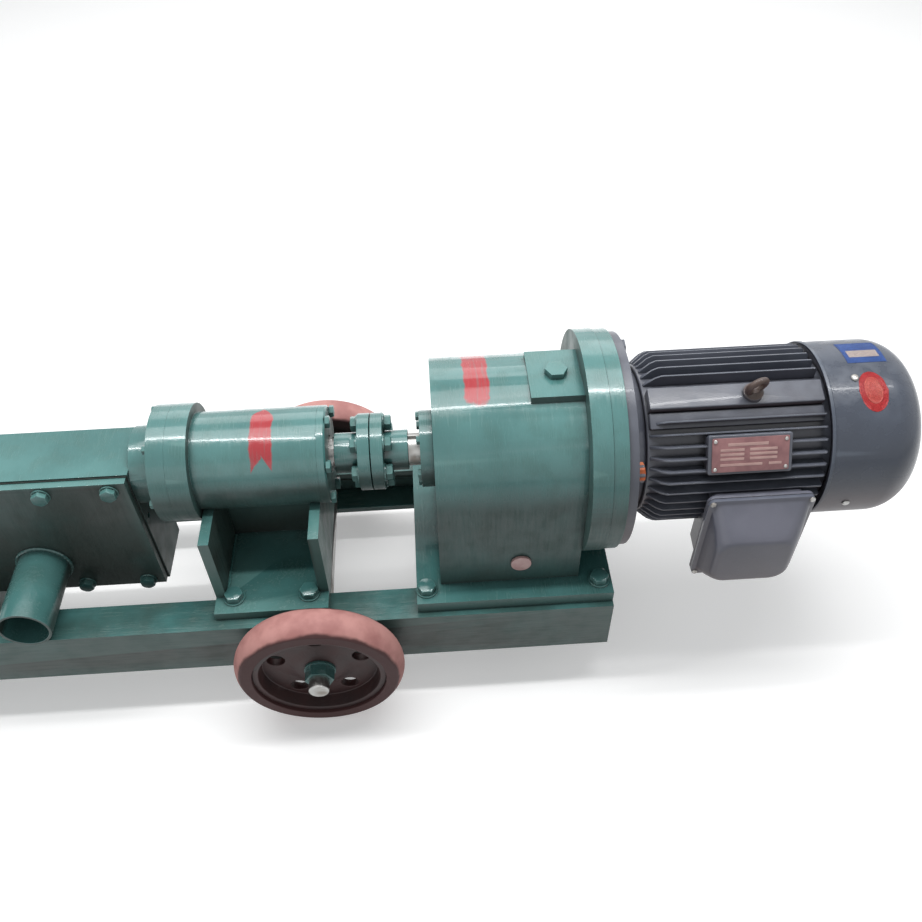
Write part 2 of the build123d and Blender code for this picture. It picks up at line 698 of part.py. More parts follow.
saddle_half = 70.0
saddle_side = 6.0
member_top = chamber_bottom
with BuildPart() as stator_saddle:
    with Locations((x_saddle, 0, member_top)):
        Box(4 * saddle_thickness, 2 * saddle_half, saddle_thickness,
            align=(Align.CENTER, Align.CENTER, Align.MIN))
    with BuildSketch(Plane((x_saddle - saddle_thickness / 2, 0, member_top),
                           x_dir=(0, 1, 0), z_dir=(1, 0, 0))):
        with BuildLine():
            Polyline((-saddle_half, 0), (-saddle_half, 2 * saddle_thickness),
                     (-tube_radius - saddle_side, shaft_height - member_top),
                     (tube_radius + saddle_side, shaft_height - member_top),
                     (saddle_half, 2 * saddle_thickness), (saddle_half, 0), close=True)
        make_face()
        with Locations((0, shaft_height - member_top)):
            Circle(tube_radius + seat, mode=Mode.SUBTRACT)
    extrude(amount=saddle_thickness)
save(stator_saddle, "stator_saddle")

# ================================================================ pump shaft and coupling
journal = 17.0
with BuildPart() as pump_shaft:
    turn((x_rod_right - cup_mouth, 0), (x_rod_right - cup_mouth, joint_cup),
         (x_rod_right + cup_back, joint_cup), (x_rod_right + cup_back, bearing_bore),
         (left_seat + bearing_width, bearing_bore), (left_seat + bearing_width, bearing_bore + 3),
         (right_seat, bearing_bore + 3), (right_seat, bearing_bore),
         (x_pump_hub - 2, bearing_bore), (x_pump_hub - 2, journal), (x_joint, journal), (x_joint, 0))
    with Locations((x_rod_right, 0, shaft_height)):
        Sphere(joint_ball + cup_clearance, mode=Mode.SUBTRACT)
save(pump_shaft, "pump_shaft")

coupling_bolt = through_bolt(large_thread, 2 * coupling_flange + coupling_joint)
with BuildPart() as pump_coupling_half:
    turn((x_pump_hub, journal + seat), (x_pump_hub, coupling_hub), (x_joint - coupling_flange, coupling_hub),
         (x_joint - coupling_flange, coupling_radius), (x_joint, coupling_radius), (x_joint, journal + seat))
    with Locations(across(x_joint)):
        with PolarLocations(coupling_bolt_circle, 6):
            Cylinder(large_thread / 2 + bolt_gap, 3 * coupling_flange, mode=Mode.SUBTRACT)
save(pump_coupling_half, "pump_coupling_half")

hub_end = x_drive_half + coupling_flange + hub_length
with BuildPart() as gearbox_coupling_half:
    turn((x_drive_half, output_radius + seat), (x_drive_half, coupling_radius),
         (x_drive_half + coupling_flange, coupling_radius), (x_drive_half + coupling_flange, coupling_hub),
         (hub_end, coupling_hub), (hub_end, output_radius + seat))
    with Locations(across(x_drive_half)):
        with PolarLocations(coupling_bolt_circle, 6):
            Cylinder(large_thread / 2 + bolt_gap, 3 * coupling_flange, mode=Mode.SUBTRACT)
save(gearbox_coupling_half, "gearbox_coupling_half")

with BuildPart() as coupling_bolts:
    with Locations(Plane((x_joint - coupling_flange, 0, shaft_height), x_dir=(0, 1, 0), z_dir=(-1, 0, 0))):
        with PolarLocations(coupling_bolt_circle, 6):
            add(coupling_bolt)
save(coupling_bolts, "coupling_bolts")

# ================================================================ planetary gearbox
bore_radius = gearbox_radius - gearbox_wall
wall = 14.0
boss_radius = 46.0
boss_length = 58.0
base_top_gearbox = rail_top + gearbox_base
pad_height = 107.0
pad_start = 107.0
pad_length = 68.0
pad_half = 38.0
x_breather = x_gearbox + 138.0
sight_height = shaft_height - 91.0
x_sight = x_gearbox + 95.0
sight_radius = 12.0
sight_hole = 8.0
cover_screw_circle = 39.6
gear_start = x_gearbox + 84.0
side_gap = 2.0
adapter_screw_circle = 113.0
screw_head_bore = 7.5
screw_head_depth = 9.0
adapter_tapping = 18.0
core_side = 15.0
core_margin = 45.0
core_roof = 8.0
breather_shank = 7.0
sight_depth = 30.0
with BuildPart() as gearbox_housing:
    with BuildSketch(across(x_gearbox)):
        Circle(gearbox_radius)
        Rectangle(2 * gearbox_radius, shaft_height - base_top_gearbox, align=(Align.CENTER, Align.MAX))
    extrude(amount=gearbox_body)
    ring(x_gearbox_flange, gearbox_flange, gearbox_flange_radius)
    with Locations((x_gearbox - base_front, 0, rail_top)):
        Box(x_motor - x_gearbox + base_front, 2 * gearbox_base_half, gearbox_base,
            align=(Align.MIN, Align.CENTER, Align.MIN))
    with Locations((x_gearbox + pad_start, 0, shaft_height)):
        Box(x_gearbox_flange - x_gearbox - pad_start + 10, 2 * pad_half, pad_height,
            align=(Align.MIN, Align.CENTER, Align.MIN))
    turn((x_gearbox + wall, boss_radius), (x_gearbox + wall, bore_radius), (x_adapter, bore_radius),
         (x_adapter, 0), (x_gearbox + boss_length, 0), (x_gearbox + boss_length, boss_radius),
         mode=Mode.SUBTRACT)
    with BuildSketch(across(x_gearbox + boss_length)):
        Rectangle(2 * bore_radius, shaft_height - base_top_gearbox - gearbox_wall,
                  align=(Align.CENTER, Align.MAX))
    extrude(amount=gearbox_body - boss_length - gearbox_wall, mode=Mode.SUBTRACT)
    ring(gear_start - side_gap, gear_width + 2 * side_gap, gearbox_radius, bore_radius)
    with Locations((x_gearbox + gearbox_body / 2, 0, rail_top)):
        Box(gearbox_body - 2 * core_side, 2 * (gearbox_base_half - core_margin), gearbox_base - core_roof,
            mode=Mode.SUBTRACT, align=(Align.CENTER, Align.CENTER, Align.MIN))
    ring(x_gearbox, boss_length, output_bearing_outer + seat, mode=Mode.SUBTRACT)
    ring(x_adapter, adapter_thickness, adapter_radius + 4 * seat, mode=Mode.SUBTRACT)
    with Locations(across(x_gearbox)):
        with PolarLocations(cover_screw_circle, 6):
            Cylinder(neck_thread / 2 + seat, 30.0, mode=Mode.SUBTRACT)
    with Locations(across(x_adapter, tilt=motor_tilt)):
        with PolarLocations(adapter_screw_circle, 8, start_angle=22.5):
            Cylinder(small_thread / 2 + seat, 2 * adapter_tapping, mode=Mode.SUBTRACT)
    with Locations(*[(x, y, rail_top) for x in foot_bolts_x for y in (-foot_bolt_y, foot_bolt_y)]):
        Cylinder(rail_bolt / 2 + bolt_gap, 3 * gearbox_base, mode=Mode.SUBTRACT)
    with Locations((x_breather, 0, shaft_height + pad_height)):
        Cylinder(breather_shank + seat, 3 * gearbox_wall, mode=Mode.SUBTRACT)
    with Locations(Plane((x_sight, -gearbox_radius, sight_height), z_dir=(0, 1, 0))):
        Cylinder(sight_hole + seat, 2 * sight_depth, mode=Mode.SUBTRACT)
save(gearbox_housing, "gearbox_housing")

with BuildPart() as output_cover:
    ring(x_output_cover, output_cover_thickness, boss_radius - 1, output_radius + air)
    with Locations(across(x_gearbox)):
        with PolarLocations(cover_screw_circle, 6):
            Cylinder(neck_thread / 2 + bolt_gap, 4 * output_cover_thickness, mode=Mode.SUBTRACT)
save(output_cover, "output_cover")

output_screw_grip = 13.0
output_screw = hex_bolt(neck_thread, output_cover_thickness + output_screw_grip)
with BuildPart() as output_cover_bolts:
    with Locations(Plane((x_output_cover, 0, shaft_height), x_dir=(0, 1, 0), z_dir=(-1, 0, 0))):
        with PolarLocations(cover_screw_circle, 6):
            add(output_screw)
save(output_cover_bolts, "output_cover_bolts")

pilot_depth = 6.0
with BuildPart() as adapter_flange:
    ring(x_adapter, adapter_thickness, adapter_radius, motor_shaft + 6)
    ring(x_adapter - pilot_depth, pilot_depth, bore_radius - seat, bore_radius - 12)
    ring(x_motor - spigot_depth - seat, spigot_depth + seat, spigot_radius + seat, mode=Mode.SUBTRACT)
    with Locations(across(x_motor, tilt=motor_tilt)):
        with PolarLocations(adapter_screw_circle, 8, start_angle=22.5):
            CounterBoreHole(small_thread / 2 + bolt_gap, screw_head_bore, screw_head_depth,
                            2 * adapter_thickness)
        with PolarLocations(motor_bolt_circle, 4, start_angle=45):
            Cylinder(motor_thread / 2 + seat, 2.1 * adapter_thickness, mode=Mode.SUBTRACT)
save(adapter_flange, "adapter_flange")

with BuildPart() as foot_bolts:
    foot_bolt = through_bolt(rail_bolt, gearbox_base + channel_leg)
    with Locations(*[(x, y, base_top_gearbox) for x in foot_bolts_x for y in (-foot_bolt_y, foot_bolt_y)]):
        add(foot_bolt)
save(foot_bolts, "foot_bolts")

breather_flats = 22.0
breather_head = 7.0
breather_depth = 10.0
with BuildPart() as breather_plug:
    with BuildSketch(Plane((x_breather, 0, shaft_height + pad_height))):
        RegularPolygon(breather_flats / 2, 6, major_radius=False)
    extrude(amount=breather_head)
    with BuildSketch(Plane((x_breather, 0, shaft_height + pad_height))):
        Circle(breather_shank)
    extrude(amount=-breather_depth)
save(breather_plug, "breather_plug")

sight_rim = 4.0
sight_shank = 14.0
with BuildPart() as oil_sight:
    sight_plane = Plane((x_sight, -gearbox_radius, sight_height), x_dir=(1, 0, 0), z_dir=(0, -1, 0))
    with BuildSketch(sight_plane):
        Circle(sight_radius)
    extrude(amount=sight_rim)
    with BuildSketch(sight_plane):
        Circle(sight_hole)
    extrude(amount=-sight_shank)
save(oil_sight, "oil_sight")

# Gears. The first planet stands on the +Y side and the others a third of a turn apart.
carrier_plate = 14.0
carrier_disc = 72.0
pin_radius = 9.0
tooth_share = 0.26
key_width = 6.0
key_depth = 7.0
key_length = 48.0
key_space = 2.0
tip = 0.8 * module
root = 1.25 * module
sun_pitch = module * sun_teeth / 2
planet_pitch = module * planet_teeth / 2
ring_pitch = module * ring_teeth / 2
planet_angles = [360 / planet_count * k for k in range(planet_count)]

with BuildPart() as ring_gear:
    with BuildSketch(across(gear_start)):
        Circle(bore_radius - seat)
        with BuildLine():
            Polyline(*tooth_ring(ring_teeth, ring_pitch + root, ring_pitch - tip, tooth_share), close=True)
        make_face(mode=Mode.SUBTRACT)
    extrude(amount=gear_width)
save(ring_gear, "ring_gear")

for k, angle in enumerate(planet_angles, start=1):
    y = carrier_radius * cos(radians(angle))
    z = shaft_height + carrier_radius * sin(radians(angle))
    with BuildPart() as planet_gear:
        with BuildSketch(Plane((gear_start, y, z), x_dir=(0, 1, 0), z_dir=(1, 0, 0))):
            with BuildLine():
                Polyline(*tooth_ring(planet_teeth, planet_pitch - root, planet_pitch + tip, tooth_share,
                                     phase=180 / planet_teeth), close=True)
            make_face()
            Circle(pin_radius + running, mode=Mode.SUBTRACT)
        extrude(amount=gear_width)
    save(planet_gear, f"planet_gear_{k}")

disc_end = gear_start - side_gap
with BuildPart() as output_carrier:
    turn((x_drive_half, 0), (x_drive_half, output_radius), (x_gearbox - 2, output_radius),
         (x_gearbox - 2, bearing_bore), (disc_end - carrier_plate, bearing_bore),
         (disc_end - carrier_plate, carrier_disc), (disc_end, carrier_disc), (disc_end, 0))
    ring(gear_start + gear_width + side_gap, carrier_plate - 4, carrier_disc, sun_pitch + tip + side_gap)
    with Locations(across(disc_end)):
        with PolarLocations(carrier_radius, planet_count):
            Cylinder(pin_radius, gear_width + 2 * side_gap + 4,
                     align=(Align.CENTER, Align.CENTER, Align.MIN))
    with Locations((hub_end + key_space, 0, shaft_height + output_radius)):
        Box(key_length, key_width, key_depth, mode=Mode.SUBTRACT)
save(output_carrier, "output_carrier")

# ================================================================ motor
core_inset = 42.0
fan_space = 24.0
motor_screw_reach = 14.0
x_core = x_barrel + core_inset
x_fan = x_barrel_end + fan_space
fan_width = 26.0
fan_radius = 84.0
x_shield = x_barrel_end - 2.0
with BuildPart() as motor_rotor:
    with BuildSketch(across(gear_start + 1)):
        with BuildLine():
            Polyline(*tooth_ring(sun_teeth, sun_pitch - root, sun_pitch + tip, tooth_share), close=True)
        make_face()
    extrude(amount=gear_width - 2)
    ring(gear_start + gear_width - 2, x_fan + fan_width - gear_start - gear_width + 2, motor_shaft)
    ring(x_core, core_length, core_bore - air, motor_shaft - 1)
save(motor_rotor, "motor_rotor")

with BuildPart() as cooling_fan:
    ring(x_fan, fan_width, motor_shaft + 12, motor_shaft + seat)
    ring(x_fan, 3.0, fan_radius, motor_shaft + seat)
    with BuildSketch(across(x_fan)):
        with PolarLocations(0, 7):
            with Locations(((fan_radius + motor_shaft + 8) / 2, 0)):
                Rectangle(fan_radius - motor_shaft - 8, 3.0)
    extrude(amount=fan_width)
save(cooling_fan, "cooling_fan")

barrel_bore = barrel_radius - barrel_wall
with BuildPart() as motor_flange:
    turn((x_motor - spigot_depth, motor_shaft + air), (x_motor - spigot_depth, spigot_radius),
         (x_motor, spigot_radius), (x_motor, motor_flange_radius),
         (x_motor + motor_flange_thickness, motor_flange_radius),
         (x_motor + motor_flange_thickness, barrel_radius + 4),
         (x_barrel, barrel_radius - 4), (x_barrel, barrel_bore - 8),
         (x_motor + motor_flange_thickness - 2, barrel_bore - 8),
         (x_motor + motor_flange_thickness - 2, 34), (x_barrel + 4, 34), (x_barrel + 4, motor_shaft + air))
    with Locations(across(x_motor, tilt=motor_tilt)):
        with PolarLocations(motor_bolt_circle, 4, start_angle=45):
            Cylinder(motor_thread / 2 + bolt_gap, 3 * motor_flange_thickness, mode=Mode.SUBTRACT)
save(motor_flange, "motor_flange")

motor_bolt = hex_bolt(motor_thread, motor_flange_thickness + motor_screw_reach)
cap_screw_head = 8.0
cap_head_radius = 6.5
cap_screw_length = 26.0
with BuildPart() as cap_screw:
    Cylinder(cap_head_radius, cap_screw_head, align=(Align.CENTER, Align.CENTER, Align.MAX))
    Cylinder(small_thread / 2, cap_screw_length, align=(Align.CENTER, Align.CENTER, Align.MAX))
with BuildPart() as flange_bolts:
    with Locations(across(x_motor + motor_flange_thickness, tilt=motor_tilt)):
        with PolarLocations(motor_bolt_circle, 4, start_angle=45):
            add(motor_bolt)
    with Locations(across(x_motor - 1, tilt=motor_tilt)):
        with PolarLocations(adapter_screw_circle, 8, start_angle=22.5):
            add(cap_screw.part)
save(flange_bolts, "flange_bolts")

box_length = 116.0
box_half = 46.0
box_block = 20.0
box_rim = 5.0
gland_radius = 8.4
gland_shank = 6.5
gland_hex = 6.0
gland_nut = 10.0
gland_depth = 11.0
gland_inset = 6.0
cable_radius = 4.5
x_box = x_barrel + 120.0
plate_angle = 31.5
pad_width = 26.0
name_width = 42.0
name_length = 88.0
x_name = x_barrel + 108.0
x_eye = x_barrel + 117.0
eye_turn = 42.0
box_angle = 180.0
free_angles = [90 + k * 360 / fin_count for k in range(fin_count)]


def fin_stands(angle):
    """A cooling fin is left out where the lifting pad, name plate or terminal box sits."""
    local = angle % 360
    on_pad = abs(local - 90) < 12
    on_box = abs(local - 180) < 27
    return not (on_pad or on_box)


def motor_face(angle, distance, x):
    """Plane on the motor at an angle from local +Y, facing outwards, with local x along +X."""
    turned_by = radians(angle + motor_tilt)
    outward = (0, cos(turned_by), sin(turned_by))
    centre = (x, distance * outward[1], shaft_height + distance * outward[2])
    return Plane(centre, x_dir=(1, 0, 0), z_dir=outward)


name_angle = 180 - plate_angle - motor_tilt
with BuildPart() as motor_frame:
    ring(x_barrel, barrel_length, barrel_radius)
    with BuildSketch(across(x_barrel + 3, tilt=motor_tilt)):
        for angle in filter(fin_stands, free_angles):
            with Locations(Location((0, 0), angle)):
                with Locations(((barrel_radius + fin_radius) / 2 - 1, 0)):
                    Rectangle(fin_radius - barrel_radius + 2, fin_thickness)
    extrude(amount=barrel_length - 13)
    with BuildSketch(motor_face(90, barrel_radius - 6, x_barrel + barrel_length / 2 - 4)):
        Rectangle(barrel_length - 10, pad_width)
    extrude(amount=fin_radius - barrel_radius + 4)
    with BuildSketch(motor_face(name_angle, barrel_radius - 6, x_name)):
        Rectangle(name_length, name_width)
    extrude(amount=fin_radius - barrel_radius + 8)
    with BuildSketch(motor_face(box_angle, barrel_radius - 16, x_box)):
        Rectangle(box_length - 16, 2 * box_half - 16)
    extrude(amount=box_seat - barrel_radius + 16)
    ring(x_barrel, barrel_length, barrel_bore, mode=Mode.SUBTRACT)
    with Locations(motor_face(90, fin_radius - 2, x_eye)):
        Cylinder(motor_thread / 2 + seat, 2 * pad_width, mode=Mode.SUBTRACT)
save(motor_frame, "motor_frame")

with BuildPart() as stator_core:
    turn((x_core, core_bore), (x_core, barrel_bore - seat), (x_core + core_length, barrel_bore - seat),
         (x_core + core_length, core_bore))
    ring(x_core - 12, core_length + 24, barrel_bore - 6, core_bore + 8)
save(stator_core, "stator_core")

with BuildPart() as rear_shield:
    turn((x_shield, motor_shaft + air), (x_shield, barrel_bore - seat),
         (x_barrel_end + seat, barrel_bore - seat),
         (x_barrel_end + seat, cowl_radius - cowl_wall - cowl_fit),
         (x_barrel_end + 8, cowl_radius - cowl_wall - cowl_fit),
         (x_barrel_end + 12, barrel_radius - 6), (x_barrel_end + 12, motor_shaft + air))
save(rear_shield, "rear_shield")

dome = 44.0
cowl_overlap = 6.0
slot_rows = (22.0, 38.0, 54.0)
slot_count = 12
slot_length = 10.0
slot_width = 5.0
cowl_start = x_barrel_end - cowl_overlap
with BuildPart() as fan_cowl:
    with BuildSketch(shaft_plane):
        with BuildLine():
            l1 = Line((cowl_start, cowl_radius - cowl_wall), (cowl_start, cowl_radius))
            l2 = Line(l1 @ 1, (x_end - dome, cowl_radius))
            l3 = ThreePointArc(l2 @ 1, (x_end - dome * (1 - sqrt(0.5)), cowl_radius - dome * (1 - sqrt(0.5))),
                               (x_end, cowl_radius - dome))
            l4 = Line(l3 @ 1, (x_end, 0))
            l5 = Line(l4 @ 1, (x_end - cowl_wall, 0))
            l6 = Line(l5 @ 1, (x_end - cowl_wall, cowl_radius - dome))
            reach = dome - cowl_wall
            l7 = ThreePointArc(l6 @ 1,
                               (x_end - dome + reach * sqrt(0.5), cowl_radius - dome + reach * sqrt(0.5)),
                               (x_end - dome, cowl_radius - cowl_wall))
            Line(l7 @ 1, l1 @ 0)
        make_face()
    revolve(axis=shaft_axis)
    for row in slot_rows:
        with Locations(across(x_end, tilt=motor_tilt)):
            with PolarLocations(row, slot_count):
                Box(slot_length, slot_width, 8 * cowl_wall, mode=Mode.SUBTRACT)
save(fan_cowl, "fan_cowl")

gland_face = Plane(motor_face(box_angle, box_seat + box_block / 2, x_box).origin,
                   x_dir=(1, 0, 0), z_dir=motor_face(-90, 1, x_box).z_dir)
gland_plane = gland_face.offset(box_half - gland_inset)
with BuildPart() as terminal_box_base:
    with BuildSketch(motor_face(box_angle, box_seat, x_box)):
        Rectangle(box_length - 10, 2 * box_half - 12)
    extrude(amount=box_block)
    with BuildSketch(motor_face(box_angle, box_seat + box_block, x_box)):
        Rectangle(box_length, 2 * box_half)
    extrude(amount=box_rim)
    with Locations(gland_plane):
        Cylinder(gland_shank + seat, 2 * (gland_depth + air), mode=Mode.SUBTRACT)
save(terminal_box_base, "terminal_box_base")

with BuildPart() as cable_gland:
    with BuildSketch(gland_plane):
        RegularPolygon(gland_radius + 0.2, 6, major_radius=False)
    extrude(amount=gland_hex)
    with BuildSketch(gland_plane.offset(gland_hex)):
        Circle(gland_radius)
    extrude(amount=gland_nut, taper=6)
    with BuildSketch(gland_plane):
        Circle(gland_shank)
    extrude(amount=-gland_depth)
    with BuildSketch(gland_plane.offset(gland_hex + gland_nut)):
        Circle(cable_radius)
    extrude(amount=-gland_hex - gland_nut - gland_depth, mode=Mode.SUBTRACT)
save(cable_gland, "cable_gland")

cover_rise = 38.0
cover_shoulder = 4.0
cover_top_length = 78.0
cover_top_half = 39.0
cover_face = box_seat + box_block + box_rim
with BuildPart() as terminal_box_cover:
    with BuildSketch(motor_face(box_angle, cover_face, x_box)):
        Rectangle(box_length, 2 * box_half)
    extrude(amount=box_rim)
    with BuildSketch(motor_face(box_angle, cover_face + box_rim, x_box)):
        Rectangle(box_length - 2 * cover_shoulder, 2 * box_half - 6)
    with BuildSketch(motor_face(box_angle, cover_face + cover_rise, x_box)):
        Rectangle(cover_top_length, 2 * cover_top_half)
    loft()
save(terminal_box_cover, "terminal_box_cover")

with BuildPart() as nameplate:
    with BuildSketch(motor_face(name_angle, fin_radius + 2, x_name)):
        Rectangle(name_length - 4, name_width - 4)
    extrude(amount=1.0)
save(nameplate, "nameplate")

eye_thread = 12.0
eye_collar = 12.0
eye_collar_height = 5.0
eye_depth = 16.0
eye_rise = 20.0
eye_ring = 15.0
eye_wire = 4.5
with BuildPart() as lifting_eye:
    with BuildSketch(motor_face(90, fin_radius - 2, x_eye)):
        Circle(eye_thread / 2)
    extrude(amount=-eye_depth)
    with BuildSketch(motor_face(90, fin_radius - 2, x_eye)):
        Circle(eye_collar)
    extrude(amount=eye_collar_height)
    with Locations(motor_face(90, fin_radius + eye_rise, x_eye)):
        with Locations(Location((0, 0, 0), (0, 0, eye_turn))):
            Torus(eye_ring, eye_wire, rotation=(90, 0, 0))
save(lifting_eye, "lifting_eye")
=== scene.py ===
"""Looks of a progressive cavity pump on a two-wheeled trolley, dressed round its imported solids.

Lengths are metres. The shaft runs along +X, +Z is up, and the floor is at Z = 0.
"""

import json
from math import cos, degrees, pi, radians, sin, sqrt, tan, tau

import bmesh
import bpy
from mathutils import Matrix, Vector


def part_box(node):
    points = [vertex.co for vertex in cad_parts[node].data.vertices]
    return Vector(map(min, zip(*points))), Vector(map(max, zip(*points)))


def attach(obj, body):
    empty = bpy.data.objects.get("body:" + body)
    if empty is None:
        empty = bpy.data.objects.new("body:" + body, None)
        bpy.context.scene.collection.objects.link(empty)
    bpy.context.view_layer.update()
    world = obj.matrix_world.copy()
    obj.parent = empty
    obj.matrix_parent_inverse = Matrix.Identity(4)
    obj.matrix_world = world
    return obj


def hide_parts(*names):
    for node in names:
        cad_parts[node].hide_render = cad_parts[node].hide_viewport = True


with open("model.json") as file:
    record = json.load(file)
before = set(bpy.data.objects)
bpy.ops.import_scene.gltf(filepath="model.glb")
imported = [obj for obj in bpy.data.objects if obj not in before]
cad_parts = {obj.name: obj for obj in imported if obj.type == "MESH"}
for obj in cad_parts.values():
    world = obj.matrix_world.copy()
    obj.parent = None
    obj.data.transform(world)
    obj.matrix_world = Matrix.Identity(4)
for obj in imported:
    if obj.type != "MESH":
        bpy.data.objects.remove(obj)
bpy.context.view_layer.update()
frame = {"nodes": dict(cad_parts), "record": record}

mm = 0.001


def in_mm(*rows):
    """Rows of millimetres as metres."""
    return [[value * mm for value in row] for row in rows]


body_of = {
    node: body
    for body, nodes in frame["record"]["behaviour"]["bodies"].items()
    for node in nodes
}


def low(node):
    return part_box(node)[0]


def high(node):
    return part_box(node)[1]


def centre(node):
    return (low(node) + high(node)) / 2


# ---------------------------------------------------------------- places on the machine
shaft_height = (low("stator_tube").z + high("stator_tube").z) / 2
barrel_radius = 86 * mm
fin_radius = 100 * mm
cowl_radius = high("fan_cowl").y
motor_tilt = 20.0
x_barrel = low("motor_frame").x
barrel_length = high("motor_frame").x - x_barrel


# ---------------------------------------------------------------- finishes
def paint(red, green, blue):
    """Linear colour of a screen colour given from 0 to 255."""
    shades = [c / 255 for c in (red, green, blue)]
    linear = [c / 12.92 if c <= 0.04045 else ((c + 0.055) / 1.055) ** 2.4 for c in shades]
    return (*linear, 1.0)


class Wire:
    """One socket of a node graph. Arithmetic on wires adds the Math nodes."""

    def __init__(self, graph, socket):
        self.graph = graph
        self.socket = socket

    def __add__(self, other):
        return self.graph.math("ADD", self, other)

    def __sub__(self, other):
        return self.graph.math("SUBTRACT", self, other)

    def __rsub__(self, other):
        return self.graph.math("SUBTRACT", other, self)

    def __mul__(self, other):
        return self.graph.math("MULTIPLY", self, other)

    def __truediv__(self, other):
        return self.graph.math("DIVIDE", self, other)

    __radd__ = __add__
    __rmul__ = __mul__


class Graph:
    """A node tree, with one way to add any node to it."""

    def __init__(self, tree):
        self.tree = tree

    def node(self, kind, settings=None, values=None, out=0):
        made = self.tree.nodes.new("ShaderNode" + kind)
        for name, value in (settings or {}).items():
            setattr(made, name, value)
        for socket, value in (values or {}).items():
            self.feed(made.inputs[socket], value)
        return Wire(self, made.outputs[out])

    def feed(self, socket, value):
        if isinstance(value, Wire):
            self.tree.links.new(value.socket, socket)
        else:
            socket.default_value = value

    def math(self, operation, *values):
        return self.node("Math", {"operation": operation}, dict(enumerate(values)))

    def mix(self, share, first, second):
        return self.node("Mix", {"data_type": "RGBA"}, {0: share, 6: first, 7: second}, out=2)

    def seen(self):
        """1 for rays that look at a surface, and 0 for the rays that light others from it."""
        camera, glossy, transmission = (
            self.node("LightPath", out=f"Is {kind} Ray")
            for kind in ("Camera", "Glossy", "Transmission")
        )
        return self.math("MINIMUM", camera + glossy + transmission, 1.0)


class Finish(Graph):
    """A material in the making, with the record's slot that it belongs to."""

    def __init__(self, name, slot):
        self.slot = slot
        self.material = bpy.data.materials.new(name)
        self.material.use_nodes = True
        super().__init__(self.material.node_tree)
        self.shader = self.tree.nodes["Principled BSDF"]
        self.place = self.node("TexCoord", out="Object")

    def axis(self, name):
        return self.node("SeparateXYZ", values={0: self.place}, out=name)

    def noise(self, scale, detail=2.0, stretch=(1, 1, 1), roughness=0.5):
        at = self.place
        if stretch != (1, 1, 1):
            at = self.node("VectorMath", {"operation": "MULTIPLY"}, {0: at, 1: stretch})
        values = {"Vector": at, "Scale": scale, "Detail": detail, "Roughness": roughness}
        return self.node("TexNoise", values=values)

    def step(self, value, start, end):
        """0 below start, 1 above end, and smooth between."""
        settings = {"interpolation_type": "SMOOTHSTEP"}
        return self.node("MapRange", settings, {0: value, 1: start, 2: end})

    def band(self, value, start, end, soft):
        rise = self.step(value, start - soft, start + soft)
        return rise * self.step(value, end + soft, end - soft)

    def crevices(self, reach, start, end=0.95):
        """0 in the open and 1 deep in a corner; the finishes paint shade with it."""
        open_air = self.node("AmbientOcclusion", {"samples": 4}, {"Distance": reach}, out="AO")
        return 1 - self.step(open_air, start, end)

    def upward(self):
        """1 where the surface faces up, 0 on a wall and -1 where it faces down."""
        normal = self.node("NewGeometry", out="Normal")
        return self.node("SeparateXYZ", values={0: normal}, out="Z")

    def edges(self, start=0.53, end=0.6):
        """1 on worn outer edges."""
        return self.step(self.node("NewGeometry", out="Pointiness"), start, end)

    def bump(self, height, strength, depth):
        values = {"Height": height, "Strength": strength, "Distance": depth}
        return self.node("Bump", values=values)

    def skin(self, **sockets):
        for name, value in sockets.items():
            self.feed(self.shader.inputs[name.replace("_", " ")], value)
        return self


around_shaft = (14.0, 1.0, 1.0)
along_shaft = (1.0, 12.0, 12.0)
upright = (10.0, 10.0, 1.0)


